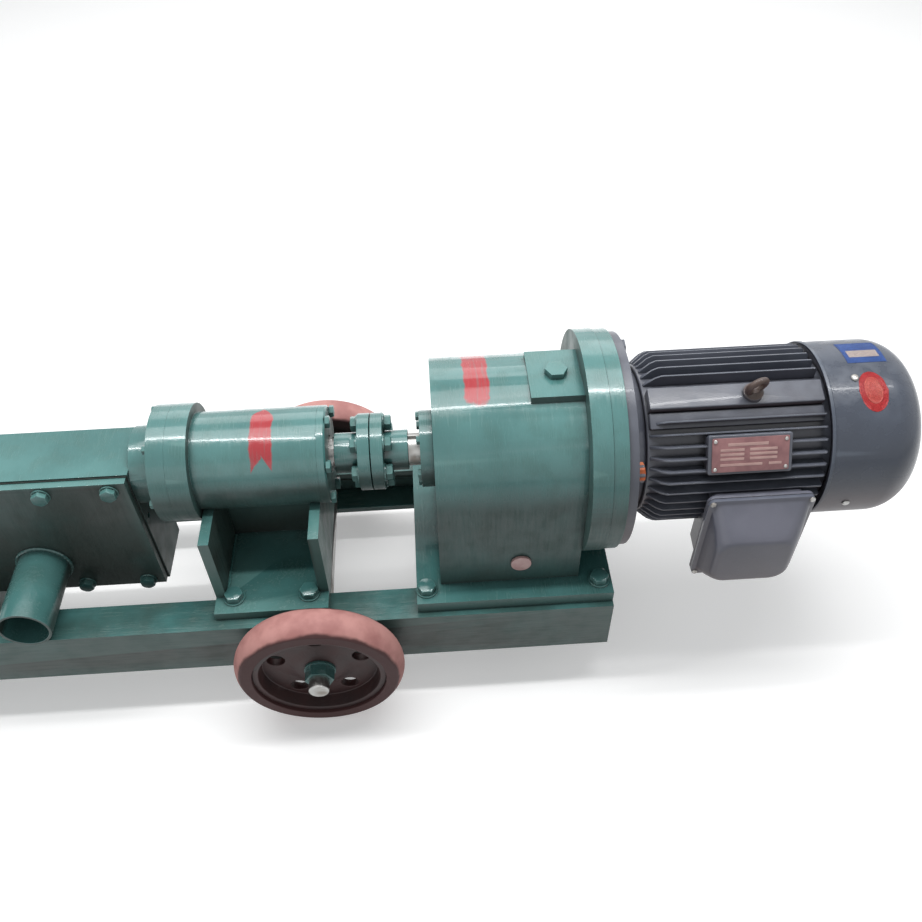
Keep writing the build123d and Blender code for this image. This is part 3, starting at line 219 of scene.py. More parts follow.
def enamel(name, strokes, slot="green_paint", marks=(), wall_shade=0.7, dull=0.0):
    """Brushed glossy enamel. Walls and undersides get painted shade with a brown painted floor
    reflection, and dull greys it in clouds.

    Each mark is a dab of red paint: (x start, x end, low angle, high angle, fork).
    """
    coat = Finish(name, slot)
    clouds = coat.noise(9, 4)
    patches = coat.step(coat.noise(38, 3), 0.42, 0.68)
    brush = coat.noise(26, 3, strokes, 0.6)
    fine_brush = coat.noise(90, 2, strokes, 0.7)
    peel = coat.noise(700, 2)
    colour = coat.mix(coat.step(clouds, 0.3, 0.7), paint(62, 110, 108), paint(84, 134, 132))
    colour = coat.mix(patches * 0.35, colour, paint(62, 100, 94))
    colour = coat.mix(coat.step(fine_brush, 0.55, 0.8) * 0.3, colour, paint(112, 158, 155))
    if dull:
        greyed = coat.step(coat.noise(20, 4), 0.2, 0.7) * dull
        colour = coat.mix(greyed, colour, paint(46, 52, 45))
    # Painted shade: walls and undersides darken towards a brown that stands for shade and a floor
    # reflection, varied a little by noise.
    under = 1 - coat.step(coat.upward(), 0.0, 0.34)
    painted_wall_shade = under * (0.8 + 0.2 * coat.step(coat.noise(14, 4), 0.3, 0.6))
    colour = coat.mix(painted_wall_shade * wall_shade, colour, paint(36, 27, 20))
    colour = coat.mix(coat.edges() * 0.35, colour, paint(116, 160, 155))
    for start, end, low_angle, high_angle, fork in marks:
        lean = coat.math("ARCTAN2", 0 - coat.axis("Y"), coat.axis("Z") - shaft_height) * degrees(1)
        ragged = (coat.noise(60, 3) - 0.5) * 2
        along = coat.axis("X") + ragged * 0.004
        middle = coat.math("ABSOLUTE", along - (start + end) / 2) / ((end - start) / 2)
        reach = lean + ragged * 5 - middle * fork
        dab = coat.band(along, start, end, 1.2 * mm) * coat.band(reach, low_angle, high_angle, 1.5)
        thin = coat.step(coat.noise(30, 2, strokes), 0.25, 0.5)
        colour = coat.mix(dab * (0.72 + 0.25 * thin), colour, paint(168, 34, 44))
    # Painted shade in corners and recesses, from the ambient-occlusion mask.
    colour = coat.mix(coat.crevices(9 * mm, 0.35) * 0.7, colour, paint(20, 32, 29))
    height = brush * 0.6 + fine_brush * 0.3 + peel * 0.12
    coat.skin(
        Base_Color=colour,
        Roughness=0.13 + 0.17 * coat.step(brush, 0.35, 0.8) + 0.10 * patches + 0.28 * under,
        Coat_Weight=0.35 - 0.28 * under,
        Normal=coat.bump(height, 0.32, 0.9 * mm),
    )
    return coat.skin(Coat_Roughness=0.08, Specular_IOR_Level=0.5)


round_enamel = enamel("round_enamel", around_shaft)
flat_enamel = enamel("flat_enamel", along_shaft, wall_shade=0.92, dull=0.6)
plate_enamel = enamel("plate_enamel", upright, wall_shade=0.86, dull=0.25)
cover_enamel = enamel("cover_enamel", upright, wall_shade=0.9)
bolt_enamel = enamel("bolt_enamel", (3.0, 3.0, 3.0), "green_bolts", wall_shade=0.3)
nut_enamel = enamel("nut_enamel", (3.0, 3.0, 3.0), "green_bolts", wall_shade=0.0)
ribbon_start = centre("bearing_housing").x + 9 * mm
housing_enamel = enamel(
    "housing_enamel",
    around_shaft,
    marks=[(ribbon_start, ribbon_start + 24 * mm, -30.0, 42.0, 19.0)],
)
stripe_start = low("output_cover_bolts").x + 56 * mm
gearbox_enamel = enamel(
    "gearbox_enamel",
    around_shaft,
    marks=[(stripe_start, stripe_start + 27 * mm, -60.0, 20.0, -3.0)],
)


def cast_paint(name, slot, dark, light, gloss):
    """Semi-gloss paint over a fine-grained casting, dusty where it lies flat."""
    coat = Finish(name, slot)
    grain = coat.noise(420, 3, roughness=0.6)
    clouds = coat.noise(16, 3)
    upward = coat.upward()
    dust = coat.step(upward, 0.55, 1.0) * coat.step(coat.noise(70, 4), 0.4, 0.75)
    under = 1 - coat.step(upward, -0.25, 0.2)
    colour = coat.mix(coat.step(clouds, 0.3, 0.7), paint(*dark), paint(*light))
    # Painted shade: undersides darken towards a reddish brown that stands for shade and a painted
    # floor reflection.
    colour = coat.mix(under * 0.6, colour, paint(74, 52, 50))
    colour = coat.mix(dust * 0.16, colour, paint(130, 136, 146))
    colour = coat.mix(coat.edges() * 0.4, colour, paint(112, 122, 136))
    # Painted shade in corners and recesses, from the ambient-occlusion mask.
    colour = coat.mix(coat.crevices(8 * mm, 0.3) * 0.75, colour, paint(14, 16, 20))
    return coat.skin(
        Base_Color=colour,
        Roughness=gloss + 0.14 * clouds + 0.2 * dust + 0.15 * under,
        Normal=coat.bump(grain + clouds * 0.4, 0.28, 0.5 * mm),
        Coat_Weight=0.15,
    )


motor_paint = cast_paint("motor_paint", "motor_paint", (78, 81, 91), (94, 97, 107), 0.24)
cowl_paint = cast_paint("cowl_paint", "motor_paint", (62, 69, 82), (70, 78, 92), 0.2)
box_paint = cast_paint("box_paint", "motor_paint", (92, 94, 106), (104, 105, 117), 0.24)
rusty_iron = cast_paint("rusty_iron", "steel", (40, 34, 32), (72, 52, 42), 0.42)


def turned_metal(name, slot, colour, dull, rough, grain=around_shaft):
    """Bare machined metal with fine tool marks and a few oily stains."""
    metal = Finish(name, slot)
    cuts = metal.noise(150, 2, grain, 0.7)
    stains = metal.step(metal.noise(45, 4), 0.5, 0.72)
    return metal.skin(
        Base_Color=metal.mix(stains * 0.6, paint(*colour), paint(*dull)),
        Metallic=1.0 - 0.25 * stains,
        Roughness=rough + 0.16 * cuts + 0.2 * stains,
        Normal=metal.bump(cuts, 0.2, 0.2 * mm),
    )


steel = turned_metal("bare_steel", "steel", (172, 172, 170), (120, 108, 96), 0.22)
gear_steel = turned_metal("gear_steel", "steel", (150, 150, 148), (96, 84, 66), 0.26)
chrome = turned_metal("hard_chrome", "chrome_rotor", (214, 216, 220), (170, 172, 176), 0.06)
laminated = (60.0, 1.0, 1.0)
core_steel = turned_metal("core_steel", "steel", (104, 100, 96), (120, 78, 44), 0.4, laminated)


def soft_goods(name, slot, dark, light, scale, rough, weave=0.0):
    """Rubber, plastic or packing with a mottled tone and a dull grain."""
    stuff = Finish(name, slot)
    mottle = stuff.noise(scale, 4)
    grain = stuff.noise(500, 3)
    height = grain * 0.6 + mottle * 0.5
    if weave:
        waves = stuff.math("SINE", stuff.axis("Y") * weave + stuff.axis("X") * weave)
        height = height + waves * 0.5
    colour = stuff.mix(stuff.step(mottle, 0.3, 0.7), paint(*dark), paint(*light))
    # Painted shade in corners and recesses, from the ambient-occlusion mask.
    colour = stuff.mix(stuff.crevices(6 * mm, 0.3) * 0.6, colour, paint(22, 18, 18))
    return stuff.skin(
        Base_Color=colour,
        Roughness=rough + 0.15 * mottle,
        Normal=stuff.bump(height, 0.3, 0.4 * mm),
    )


tyre_rubber = soft_goods("tyre_rubber", "tyre_rubber", (166, 112, 108), (198, 144, 138), 34, 0.6)
# Painted shade: the tyre's side inside the tread is coloured dark maroon, only the tread keeps the
# rubber's colour, and noise makes the border ragged.
across_x = tyre_rubber.axis("X") - centre("axle").x
across_z = tyre_rubber.axis("Z") - centre("axle").z
tyre_radius = tyre_rubber.math("SQRT", across_x * across_x + across_z * across_z)
shade_border_noise = (tyre_rubber.noise(40, 3) - 0.5) * (5 * mm)
tread_inner, tread_outer = 92 * mm, 95 * mm
tread = tyre_rubber.step(tyre_radius + shade_border_noise, tread_inner, tread_outer)
tread_colour = Wire(tyre_rubber, tyre_rubber.shader.inputs["Base Color"].links[0].from_socket)
tyre_rubber.skin(Base_Color=tyre_rubber.mix(tread, paint(56, 25, 25), tread_colour))

packing_weave = 2600
wheel_paint = soft_goods("wheel_paint", "wheel_iron", (32, 12, 12), (50, 21, 20), 30, 0.46)
lining = soft_goods("stator_lining", "stator_rubber", (28, 28, 29), (40, 39, 38), 40, 0.5)
packing = soft_goods(
    "braided_packing", "packing", (120, 104, 74), (150, 134, 100), 90, 0.75, packing_weave
)
fan_plastic = soft_goods("fan_plastic", "fan_plastic", (24, 25, 28), (34, 35, 38), 60, 0.42)
gland_plastic = soft_goods("gland_plastic", "fan_plastic", (30, 31, 34), (44, 45, 48), 80, 0.4)
gasket = soft_goods("cover_gasket", "green_paint", (26, 36, 34), (38, 50, 46), 60, 0.7)
plate_metal = soft_goods("plate_metal", "plate_metal", (132, 92, 94), (162, 118, 118), 50, 0.3)
plate_fields = soft_goods(
    "plate_fields", "plate_metal", (178, 142, 138), (196, 162, 156), 60, 0.36
)
red_vinyl = soft_goods("red_vinyl", "motor_paint", (214, 52, 58), (226, 66, 68), 30, 0.28)
worn_red_vinyl = soft_goods(
    "worn_red_vinyl", "motor_paint", (228, 88, 80), (238, 116, 102), 60, 0.28
)
pale_vinyl = soft_goods("pale_vinyl", "motor_paint", (214, 196, 190), (226, 210, 204), 30, 0.3)
blue_vinyl = soft_goods("blue_vinyl", "motor_paint", (62, 100, 176), (78, 116, 196), 30, 0.28)
amber_paint = soft_goods("amber_paint", "green_bolts", (176, 84, 44), (200, 108, 58), 60, 0.4)
sight_pink = soft_goods("sight_pink", "sight_glass", (206, 160, 158), (222, 184, 180), 90, 0.12)


# ---------------------------------------------------------------- making pieces
def make(name, bm, finish, body="frame", nodes=(), edge=0.0, smooth=34):
    """Turn a worked mesh into a dressed piece that rides on its body."""
    bmesh.ops.recalc_face_normals(bm, faces=bm.faces)
    mesh = bpy.data.meshes.new(name)
    bm.to_mesh(mesh)
    bm.free()
    mesh.materials.append(finish.material)
    mesh.shade_smooth()
    mesh.set_sharp_from_angle(angle=radians(smooth))
    piece = bpy.data.objects.new(name, mesh)
    bpy.context.scene.collection.objects.link(piece)
    if edge:
        rounding = piece.modifiers.new("rounding", "BEVEL")
        rounding.limit_method = "ANGLE"
        rounding.angle_limit = radians(smooth)
        rounding.width = edge
        rounding.segments = 2
        rounding.harden_normals = True
    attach(piece, body)
    if nodes:
        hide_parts(*nodes)


def solid_of(node):
    """A welded working copy of a node's mesh, with its flat faces made whole."""
    bm = bmesh.new()
    bm.from_mesh(frame["nodes"][node].data)
    bmesh.ops.remove_doubles(bm, verts=bm.verts, dist=0.004 * mm)
    bmesh.ops.dissolve_limit(
        bm,
        angle_limit=radians(0.4),
        verts=bm.verts,
        edges=bm.edges,
        use_dissolve_boundaries=False,
    )
    return bm


def soften_all(*rows):
    """Nodes' own shapes with rounded edges, from rows of (node, finish, edge in millimetres)."""
    for node, finish, edge in rows:
        make(f"{node}_body", solid_of(node), finish, body_of[node], [node], edge * mm)


def cover_with(node, finish):
    """A better finish on a node whose shape is right."""
    mesh = frame["nodes"][node].data
    if not mesh.materials:
        mesh.materials.append(None)
    for slot in frame["nodes"][node].material_slots:
        slot.material = finish.material


def moved(place, x, y, z):
    """A place shifted along its own axes."""
    return place @ Matrix.Translation((x, y, z))


def stand(origin, out, along=(1, 0, 0)):
    """Matrix of a place: local Z points out, and local X along."""
    z = Vector(out).normalized()
    x = (Vector(along) - Vector(along).dot(z) * z).normalized()
    rotation = Matrix((x, z.cross(x), z)).transposed().to_4x4()
    return Matrix.Translation(origin) @ rotation


def out_at(angle):
    """Unit vector square to the shaft, at an absolute angle from +Y up towards +Z."""
    return Vector((0, cos(radians(angle)), sin(radians(angle))))


def on_shaft(x):
    """Place on the shaft's line, looking along it."""
    return stand(Vector((x, 0, shaft_height)), (1, 0, 0), (0, 1, 0))


def motor_face(angle, distance, x):
    """Place on the motor at an angle from its own +Y side, looking outwards."""
    out = out_at(angle + motor_tilt)
    return stand(Vector((x, 0, shaft_height)) + out * distance, out)


def bridge_rings(bm, rings, closed=True, caps=True):
    """Join rings of vertices into a skin, with a face over each end."""
    count = len(rings[0])
    for first, second in zip(rings, rings[1:]):
        for k in range(count if closed else count - 1):
            n = (k + 1) % count
            bm.faces.new((first[k], first[n], second[n], second[k]))
    if caps:
        bm.faces.new(rings[0][::-1])
        bm.faces.new(rings[-1])


def hoop(bm, rings):
    """Join rings of vertices into a skin that closes on itself."""
    bridge_rings(bm, [*rings, rings[0]], caps=False)


def ring_at(bm, place, height, radii):
    """Vertices round a place's Z axis, one at each given radius."""
    count = len(radii)
    return [
        bm.verts.new(place @ Vector((r * cos(tau * k / count), r * sin(tau * k / count), height)))
        for k, r in enumerate(radii)
    ]


def turned(bm, place, profile, count=32):
    """Solid of revolution about the place's Z axis through (height, radius) corners."""
    bridge_rings(bm, [ring_at(bm, place, height, [radius] * count) for height, radius in profile])


def hexagon(bm, place, start, height, flats, chamfer_low=False):
    """Hexagon head or nut with the round chamfer that a real one has."""
    count = 36
    inner = flats / 2
    crown = 0.94 * inner
    reach = [inner / cos((tau * k / count) % (pi / 3) - pi / 6) for k in range(count)]

    def hex_ring(level, direction):
        ring = ring_at(bm, place, level, reach)
        for vertex, radius in zip(ring, reach):
            drop = (radius - crown) * tan(radians(30)) * direction
            vertex.co = vertex.co + (place.to_3x3() @ Vector((0, 0, drop)))
        return ring

    if chamfer_low:
        rings = [ring_at(bm, place, start, [crown] * count), hex_ring(start, 1)]
    else:
        rings = [ring_at(bm, place, start, reach)]
    rings += [hex_ring(start + height, -1), ring_at(bm, place, start + height, [crown] * count)]
    bridge_rings(bm, rings)


def thread(bm, place, start, length, radius, pitch=1.5 * mm):
    """Screwed end with shallow ridges and a chamfered tip."""
    profile = [(start, radius * 0.88)]
    turns = max(1, int(length / pitch))
    for k in range(turns):
        profile += [(start + (k + 0.35) * pitch, radius), (start + (k + 0.65) * pitch, radius)]
        profile += [(start + (k + 1) * pitch, radius * 0.88)]
    profile[-1] = (start + length, radius * 0.8)
    turned(bm, place, profile, 20)


def islands(bm):
    """Groups of vertices that hang together, in the order of their first vertices."""
    left = set(bm.verts)
    for first in bm.verts:
        if first not in left:
            continue
        left.remove(first)
        group = [first]
        for vertex in group:
            for edge in vertex.link_edges:
                other = edge.other_vert(vertex)
                if other in left:
                    left.remove(other)
                    group.append(other)
        yield [vertex.co.copy() for vertex in group]


def bolts(node, finish, axis=(1, 0, 0), washer=True):
    """Detailed bolts in place of a node's plain ones: washer, head, and nut with a screwed end."""
    source = solid_of(node)
    bm = bmesh.new()
    axis = Vector(axis)
    for points in islands(source):
        along = [p.dot(axis) for p in points]
        first, last = min(along), max(along)
        flat = [p - p.dot(axis) * axis for p in points]
        middle = Vector([(min(line) + max(line)) / 2 for line in zip(*flat)])
        span = [(a, (p - middle).length) for a, p in zip(along, flat)]
        width_first = max(r for a, r in span if a - first < 0.02 * mm)
        width_last = max(r for a, r in span if last - a < 0.02 * mm)
        out = 1 if width_last > width_first else -1
        shank = min(width_first, width_last)
        rim, flats = 2.1 * shank, 3.2 * shank
        tip, top = (first, last) if out > 0 else (last, first)
        depth = [((top - a) * out, r) for a, r in span]
        wide = sorted(d for d, r in depth if r > 1.3 * shank)
        seat = next(d for d in wide if d > 0.01 * mm)
        square = (0, 0, 1) if axis.z == 0 else (1, 0, 0)
        place = stand(middle + axis * (top - out * seat), axis * out, square)
        thick = 0.34 * shank if washer else 0.0
        if washer:
            turned(bm, place, [(0, rim), (thick * 0.8, rim), (thick, 2.0 * shank)], 40)
        hexagon(bm, place, thick, seat, flats)
        nut = [d for d in wide if d > seat + 2 * shank]
        if nut:
            nut_top, nut_end = seat - nut[0], seat - nut[-1]
            turned(bm, place, [(nut_top, rim), (nut_top - thick, rim)], 40)
            hexagon(bm, place, nut_end - thick, nut_top - nut_end, flats, True)
            length = abs(tip - top) - seat + nut_end - thick
            below = stand(place.translation, -place.col[2].to_3d())
            thread(bm, below, thick - nut_end, max(length, 2 * mm), shank)
    source.free()
    make(f"{node}_set", bm, finish, body_of[node], [node])


bead_pitch = 1.6 * mm


def weld(name, path, size, closed=True):
    """Rippled weld bead along a line of close points."""
    bm = bmesh.new()
    rings = []
    sides = 8
    aside = (0.3, 0.5, 0.8)
    count = len(path)
    for k, point in enumerate(path):
        before = path[k - 1] if closed or k else path[0]
        after = path[(k + 1) % count] if closed or k < count - 1 else path[-1]
        place = stand(point, after - before, aside)
        swell = 1 + 0.09 * sin(k * 1.9) + 0.07 * sin(k * 0.43 + 1.3)
        if not closed and k in (0, count - 1):
            swell = 0.35
        rings.append(ring_at(bm, place, 0, [size * swell] * sides))
    if closed:
        hoop(bm, rings)
    else:
        bridge_rings(bm, rings)
    make(name, bm, round_enamel)


def circle_path(middle, normal, radius):
    """Close points round a full circle."""
    place = stand(middle, normal)
    count = max(24, int(tau * radius / bead_pitch))
    turns = [tau * k / count for k in range(count)]
    return [place @ Vector((radius * cos(t), radius * sin(t), 0)) for t in turns]


def line_path(start, end):
    """Close points along a straight line."""
    start, end = Vector(start), Vector(end)
    count = max(2, int((end - start).length / bead_pitch))
    return [start.lerp(end, k / count) for k in range(count + 1)]


def rounded_ring(bm, place, height, length, width, corner):
    """Vertices of a round-cornered rectangle at a height over a place."""
    ring = []
    arc = 6
    for sx, sy, turn in ((1, 1, 0), (-1, 1, 1), (-1, -1, 2), (1, -1, 3)):
        for k in range(arc + 1):
            angle = (turn + k / arc) * pi / 2
            x = sx * (length / 2 - corner) + corner * cos(angle)
            y = sy * (width / 2 - corner) + corner * sin(angle)
            ring.append(bm.verts.new(place @ Vector((x, y, height))))
    return ring


def block(bm, place, levels):
    """Round-cornered block through (height, length, width, corner) levels."""
    bridge_rings(bm, [rounded_ring(bm, place, *level) for level in levels])


def box_levels(start, height, length, width, corner, edge):
    """Levels of a straight block whose top edge is rounded."""
    levels = [(start, length, width, corner)]
    for k in range(4):
        angle = k / 3 * pi / 2
        inset = edge * (1 - cos(angle))
        rise = start + height - edge + edge * sin(angle)
        rounded = max(corner - inset, 0.3 * mm)
        levels.append((rise, length - 2 * inset, width - 2 * inset, rounded))
    return levels


def corner_spots(place, half_length, half_width, height):
    """The four corners of a rectangle at a height over a place."""
    for sx in (-1, 1):
        for sy in (-1, 1):
            yield moved(place, sx * half_length, sy * half_width, height)


# ---------------------------------------------------------------- trolley
soften_all(
    ("near_rail", flat_enamel, 1.6),
    ("far_rail", flat_enamel, 1.6),
    ("cross_members", flat_enamel, 1.4),
    ("rest_legs", flat_enamel, 1.5),
    ("bearing_bracket", plate_enamel, 1.2),
    ("stator_saddle", plate_enamel, 1.2),
)
bolts("bracket_bolts", bolt_enamel, (0, 0, 1))
bolts("foot_bolts", bolt_enamel, (0, 0, 1))
bolts("bearing_bolts", bolt_enamel, washer=False)
bolts("side_cover_bolts", bolt_enamel, (0, 1, 0))
bolts("stator_bolts", bolt_enamel)
bolts("coupling_bolts", bolt_enamel)
bolts("output_cover_bolts", bolt_enamel, washer=False)

# ---------------------------------------------------------------- pump
soften_all(
    ("discharge_body", round_enamel, 1.2),
    ("stator_tube", round_enamel, 1.0),
    ("suction_chamber", round_enamel, 1.2),
    ("side_cover", cover_enamel, 1.2),
    ("inlet_pipe", plate_enamel, 0.8),
    ("bearing_housing", housing_enamel, 1.2),
    ("bearing_cover", round_enamel, 0.8),
    ("pump_coupling_half", round_enamel, 1.2),
    ("gearbox_coupling_half", round_enamel, 1.2),
)
for finish, nodes in (
    (steel, ("pump_shaft", "output_carrier", "bearing_inner_rings", "bearing_outer_rings")),
    (steel, ("packing_gland",)),
    (gear_steel, ("ring_gear", "planet_gear_1", "planet_gear_2", "planet_gear_3")),
    (gear_steel, ("motor_rotor", "connecting_rod")),
    (chrome, ("pump_rotor",)),
    (lining, ("stator_liner",)),
    (packing, ("packing_rings",)),
    (core_steel, ("stator_core",)),
):
    for node in nodes:
        cover_with(node, finish)

# ---------------------------------------------------------------- gearbox and motor flange
soften_all(
    ("gearbox_housing", gearbox_enamel, 1.6),
    ("output_cover", round_enamel, 1.2),
    ("adapter_flange", round_enamel, 1.2),
    ("breather_plug", bolt_enamel, 0.8),
    ("oil_sight", sight_pink, 0.8),
    ("motor_flange", motor_paint, 1.0),
    ("flange_bolts", motor_paint, 0.7),
)


# ---------------------------------------------------------------- motor frame
def plate_between(bm, place, corners, thick_low, thick_high):
    """Flat rib through (along, out) corners on a place: local X along it and local Z outwards."""
    sides = []
    highest = max(out for along, out in corners)
    lowest = min(out for along, out in corners)
    for side in (-0.5, 0.5):
        ring = []
        for along, out in corners:
            share = (out - lowest) / (highest - lowest)
            thick = thick_low + (thick_high - thick_low) * share
            ring.append(bm.verts.new(place @ Vector((along, side * thick, out))))
        sides.append(ring)
    bridge_rings(bm, sides)


fin_count = 44
fin_start = 3 * mm
fin_end = barrel_length - 9 * mm
fin_root_thick, fin_tip_thick = 3.4 * mm, 2.0 * mm
fin_outline = [
    (fin_start, barrel_radius - 1 * mm),
    (fin_end, barrel_radius - 1 * mm),
    (fin_end, fin_radius - 2 * mm),
    (fin_end - 2 * mm, fin_radius),
    (fin_start + 19 * mm, fin_radius),
    (fin_start + 12 * mm, fin_radius - 3 * mm),
    (fin_start, barrel_radius + 1 * mm),
]
bore_radius, lip_radius = 81 * mm, 85 * mm
fins = bmesh.new()
barrel_place = on_shaft(x_barrel)
hoop(fins, [
    ring_at(fins, barrel_place, along, [radius] * (2 * fin_count))
    for along, radius in (
        (0, bore_radius),
        (0, lip_radius),
        (1 * mm, barrel_radius),
        (barrel_length - 1 * mm, barrel_radius),
        (barrel_length, lip_radius),
        (barrel_length, bore_radius),
    )
])
pad_angle, pad_half_angle, step_angle, plate_angle = 90, 14, 104.5, 128.5
for k in range(fin_count):
    from_pad = k * 360 / fin_count
    if min(from_pad, 360 - from_pad) < pad_half_angle:
        continue
    face = motor_face(pad_angle + from_pad, 0, x_barrel)
    plate_between(fins, face, fin_outline, fin_root_thick, fin_tip_thick)

# The top pad, a lower step beside it, and the seat of the name plate.
pad_length = fin_end - fin_start
pad_middle = x_barrel + (fin_start + fin_end) / 2
pad_root = barrel_radius - 4 * mm
plate_x = centre("nameplate").x
for angle, x, levels in (
    (pad_angle, pad_middle, (pad_root, 16 * mm, pad_length, 26 * mm, 2 * mm, 1.2 * mm)),
    (step_angle, pad_middle, (pad_root, 10 * mm, pad_length, 18 * mm, 2 * mm, 1 * mm)),
    (plate_angle, plate_x, (76 * mm, 26 * mm, 92 * mm, 44 * mm, 3 * mm, 1.5 * mm)),
):
    block(fins, motor_face(angle, 0, x), box_levels(*levels))
make(
    "motor_frame_body", fins, motor_paint, body_of["motor_frame"], ["motor_frame"], 0.5 * mm
)
soften_all(
    ("rear_shield", motor_paint, 0.8),
    ("fan_cowl", cowl_paint, 0.5),
    ("cooling_fan", fan_plastic, 0.5),
)

# ---------------------------------------------------------------- terminal box
# It looks square at the near side, with its lid drawn in towards a smaller face.
box_x = x_barrel + 123 * mm
box_drop = 52 * mm
box_place = stand(Vector((box_x, 0, shaft_height - box_drop)), (0, -1, 0))
box_bm = bmesh.new()
block(box_bm, box_place, in_mm(
    (70, 100, 112, 7),
    (107, 104, 116, 7),
    (108, 116, 128, 7),
    (109, 118, 130, 8),
    (112.2, 118, 130, 8),
    (112.8, 116.5, 128.5, 7),
))
make(
    "terminal_box_base_body", box_bm, box_paint,
    body_of["terminal_box_base"], ["terminal_box_base"], 0.4 * mm,
)
lid = bmesh.new()
lid_rings = []
for out, length, width, corner, shift, rise in in_mm(
    (113.0, 116.5, 128.5, 7, 0, 0),
    (113.6, 118, 130, 8, 0, 0),
    (117.4, 118, 130, 8, 0, 0),
    (118.0, 116.5, 128.5, 8, 0, 0),
    (118.4, 110, 122, 10, 0, 0),
    (120, 107.5, 118, 12, -0.4, 0),
    (134, 99, 98, 15, -3.2, -1),
    (145, 91.5, 78, 17, -5.8, -2),
    (149.4, 87, 71, 18, -6.8, -2),
    (151.4, 82, 65, 17, -7, -2),
    (152.0, 76, 59, 15, -7, -2),
):
    shifted = moved(box_place, shift, rise, 0)
    lid_rings.append(rounded_ring(lid, shifted, out, length, width, corner))
bridge_rings(lid, lid_rings)
make(
    "terminal_box_cover_body", lid, box_paint,
    body_of["terminal_box_cover"], ["terminal_box_cover"], smooth=50,
)
screws = bmesh.new()
for spot in corner_spots(box_place, 54.5 * mm, 60.5 * mm, 117.6 * mm):
    turned(screws, spot, in_mm((0, 3.4), (1.2, 3.4), (2.2, 2.6), (2.5, 1.2)), 20)
make("box_screws", screws, steel, body_of["terminal_box_cover"])

gland = bmesh.new()
gland_out, gland_drop = 92 * mm, 109 * mm
gland_place = stand(Vector((box_x, -gland_out, shaft_height - gland_drop)), (0, 0, -1))
hexagon(gland, gland_place, 0, 7 * mm, 19 * mm)
turned(gland, gland_place, in_mm((6, 8.8), (14, 8.2), (17, 7.0), (17.4, 5.0)), 36)
make("cable_gland_body", gland, gland_plastic, body_of["cable_gland"], ["cable_gland"])

# ---------------------------------------------------------------- name plate
# It has blank fields and a rivet at each corner.
plate_face = motor_face(plate_angle, fin_radius + 2 * mm, plate_x)
plate_bm = bmesh.new()
block(plate_bm, plate_face, box_levels(0, 1.0 * mm, 84 * mm, 38 * mm, 1.5 * mm, 0.3 * mm))
make("nameplate_body", plate_bm, plate_metal, body_of["nameplate"], ["nameplate"])
fields = bmesh.new()
for across, up, length, width in in_mm(
    (-3, 11.5, 44, 3.4),
    (-20, 5.5, 26, 3),
    (14, 5.5, 30, 3),
    (-20, 0.5, 26, 3),
    (14, 0.5, 30, 3),
    (-20, -4.5, 26, 3),
    (14, -4.5, 30, 3),
    (-10, -11.0, 46, 3),
    (27, -11.0, 14, 3),
):
    spot = moved(plate_face, across, up, 0.95 * mm)
    block(fields, spot, box_levels(0, 0.25 * mm, length, width, 0.5 * mm, 0.1 * mm))
make("nameplate_fields", fields, plate_fields, body_of["nameplate"])
rivets = bmesh.new()
for spot in corner_spots(plate_face, 38.5 * mm, 15.5 * mm, 0.9 * mm):
    turned(rivets, spot, in_mm((0, 2.2), (0.8, 2.0), (1.5, 1.2), (1.7, 0.4)), 16)
make("nameplate_rivets", rivets, steel, body_of["nameplate"])

# ---------------------------------------------------------------- lifting eye
# It has a collar, a neck and a forged ring.
eye_ring_radius, eye_wire_radius, eye_rise, eye_twist = 10.5 * mm, 3.6 * mm, 16.0 * mm, 20
eye_foot = motor_face(pad_angle, fin_radius - 2 * mm, centre("lifting_eye").x)
eye = bmesh.new()
turned(eye, eye_foot, in_mm((0, 11), (4, 11), (5, 9.5), (7, 6), (9, 5)), 32)
eye_centre = moved(eye_foot, 0, 0, eye_rise) @ Matrix.Rotation(radians(eye_twist), 4, "Z")
eye_steps = 36
hoop(eye, [
    ring_at(
        eye,
        moved(eye_centre @ Matrix.Rotation(tau * k / eye_steps, 4, "Y"), eye_ring_radius, 0, 0),
        0,
        [eye_wire_radius] * 16,
    )
    for k in range(eye_steps)
])
make("lifting_eye_body", eye, rusty_iron, body_of["lifting_eye"], ["lifting_eye"])


# ---------------------------------------------------------------- fan cowl
def on_cowl(x, angle, rise):
    """Point just above the fan cowl at an absolute angle round the shaft."""
    dome = 44 * mm
    past = max(0.0, x - (high("fan_cowl").x - dome))
    radius = cowl_radius - dome + sqrt(max(dome * dome - past * past, 0.0)) + rise
    turn = radians(angle)
    return Vector((x, radius * cos(turn), shaft_height + radius * sin(turn)))


def sticker(name, finish, x, angle, length, width, oval, rise=0.25 * mm):
    """Thin printed patch that follows the cowl."""
    bm = bmesh.new()
    rows = []
    slices, stations = 14, 8
    for i in range(slices + 1):
        u = 2 * i / slices - 1
        half = sqrt(max(1 - u * u, 0.0008)) if oval else 1.0
        row = []
        for j in range(stations + 1):
            v = (2 * j / stations - 1) * half
            turn = angle + degrees(v * width / 2 / cowl_radius)
            row.append(bm.verts.new(on_cowl(x + u * length / 2, turn, rise)))
        rows.append(row)
    bridge_rings(bm, rows, closed=False, caps=False)
    bmesh.ops.solidify(bm, geom=bm.faces[:], thickness=0.12 * mm)
    make(name, bm, finish, body_of["fan_cowl"])


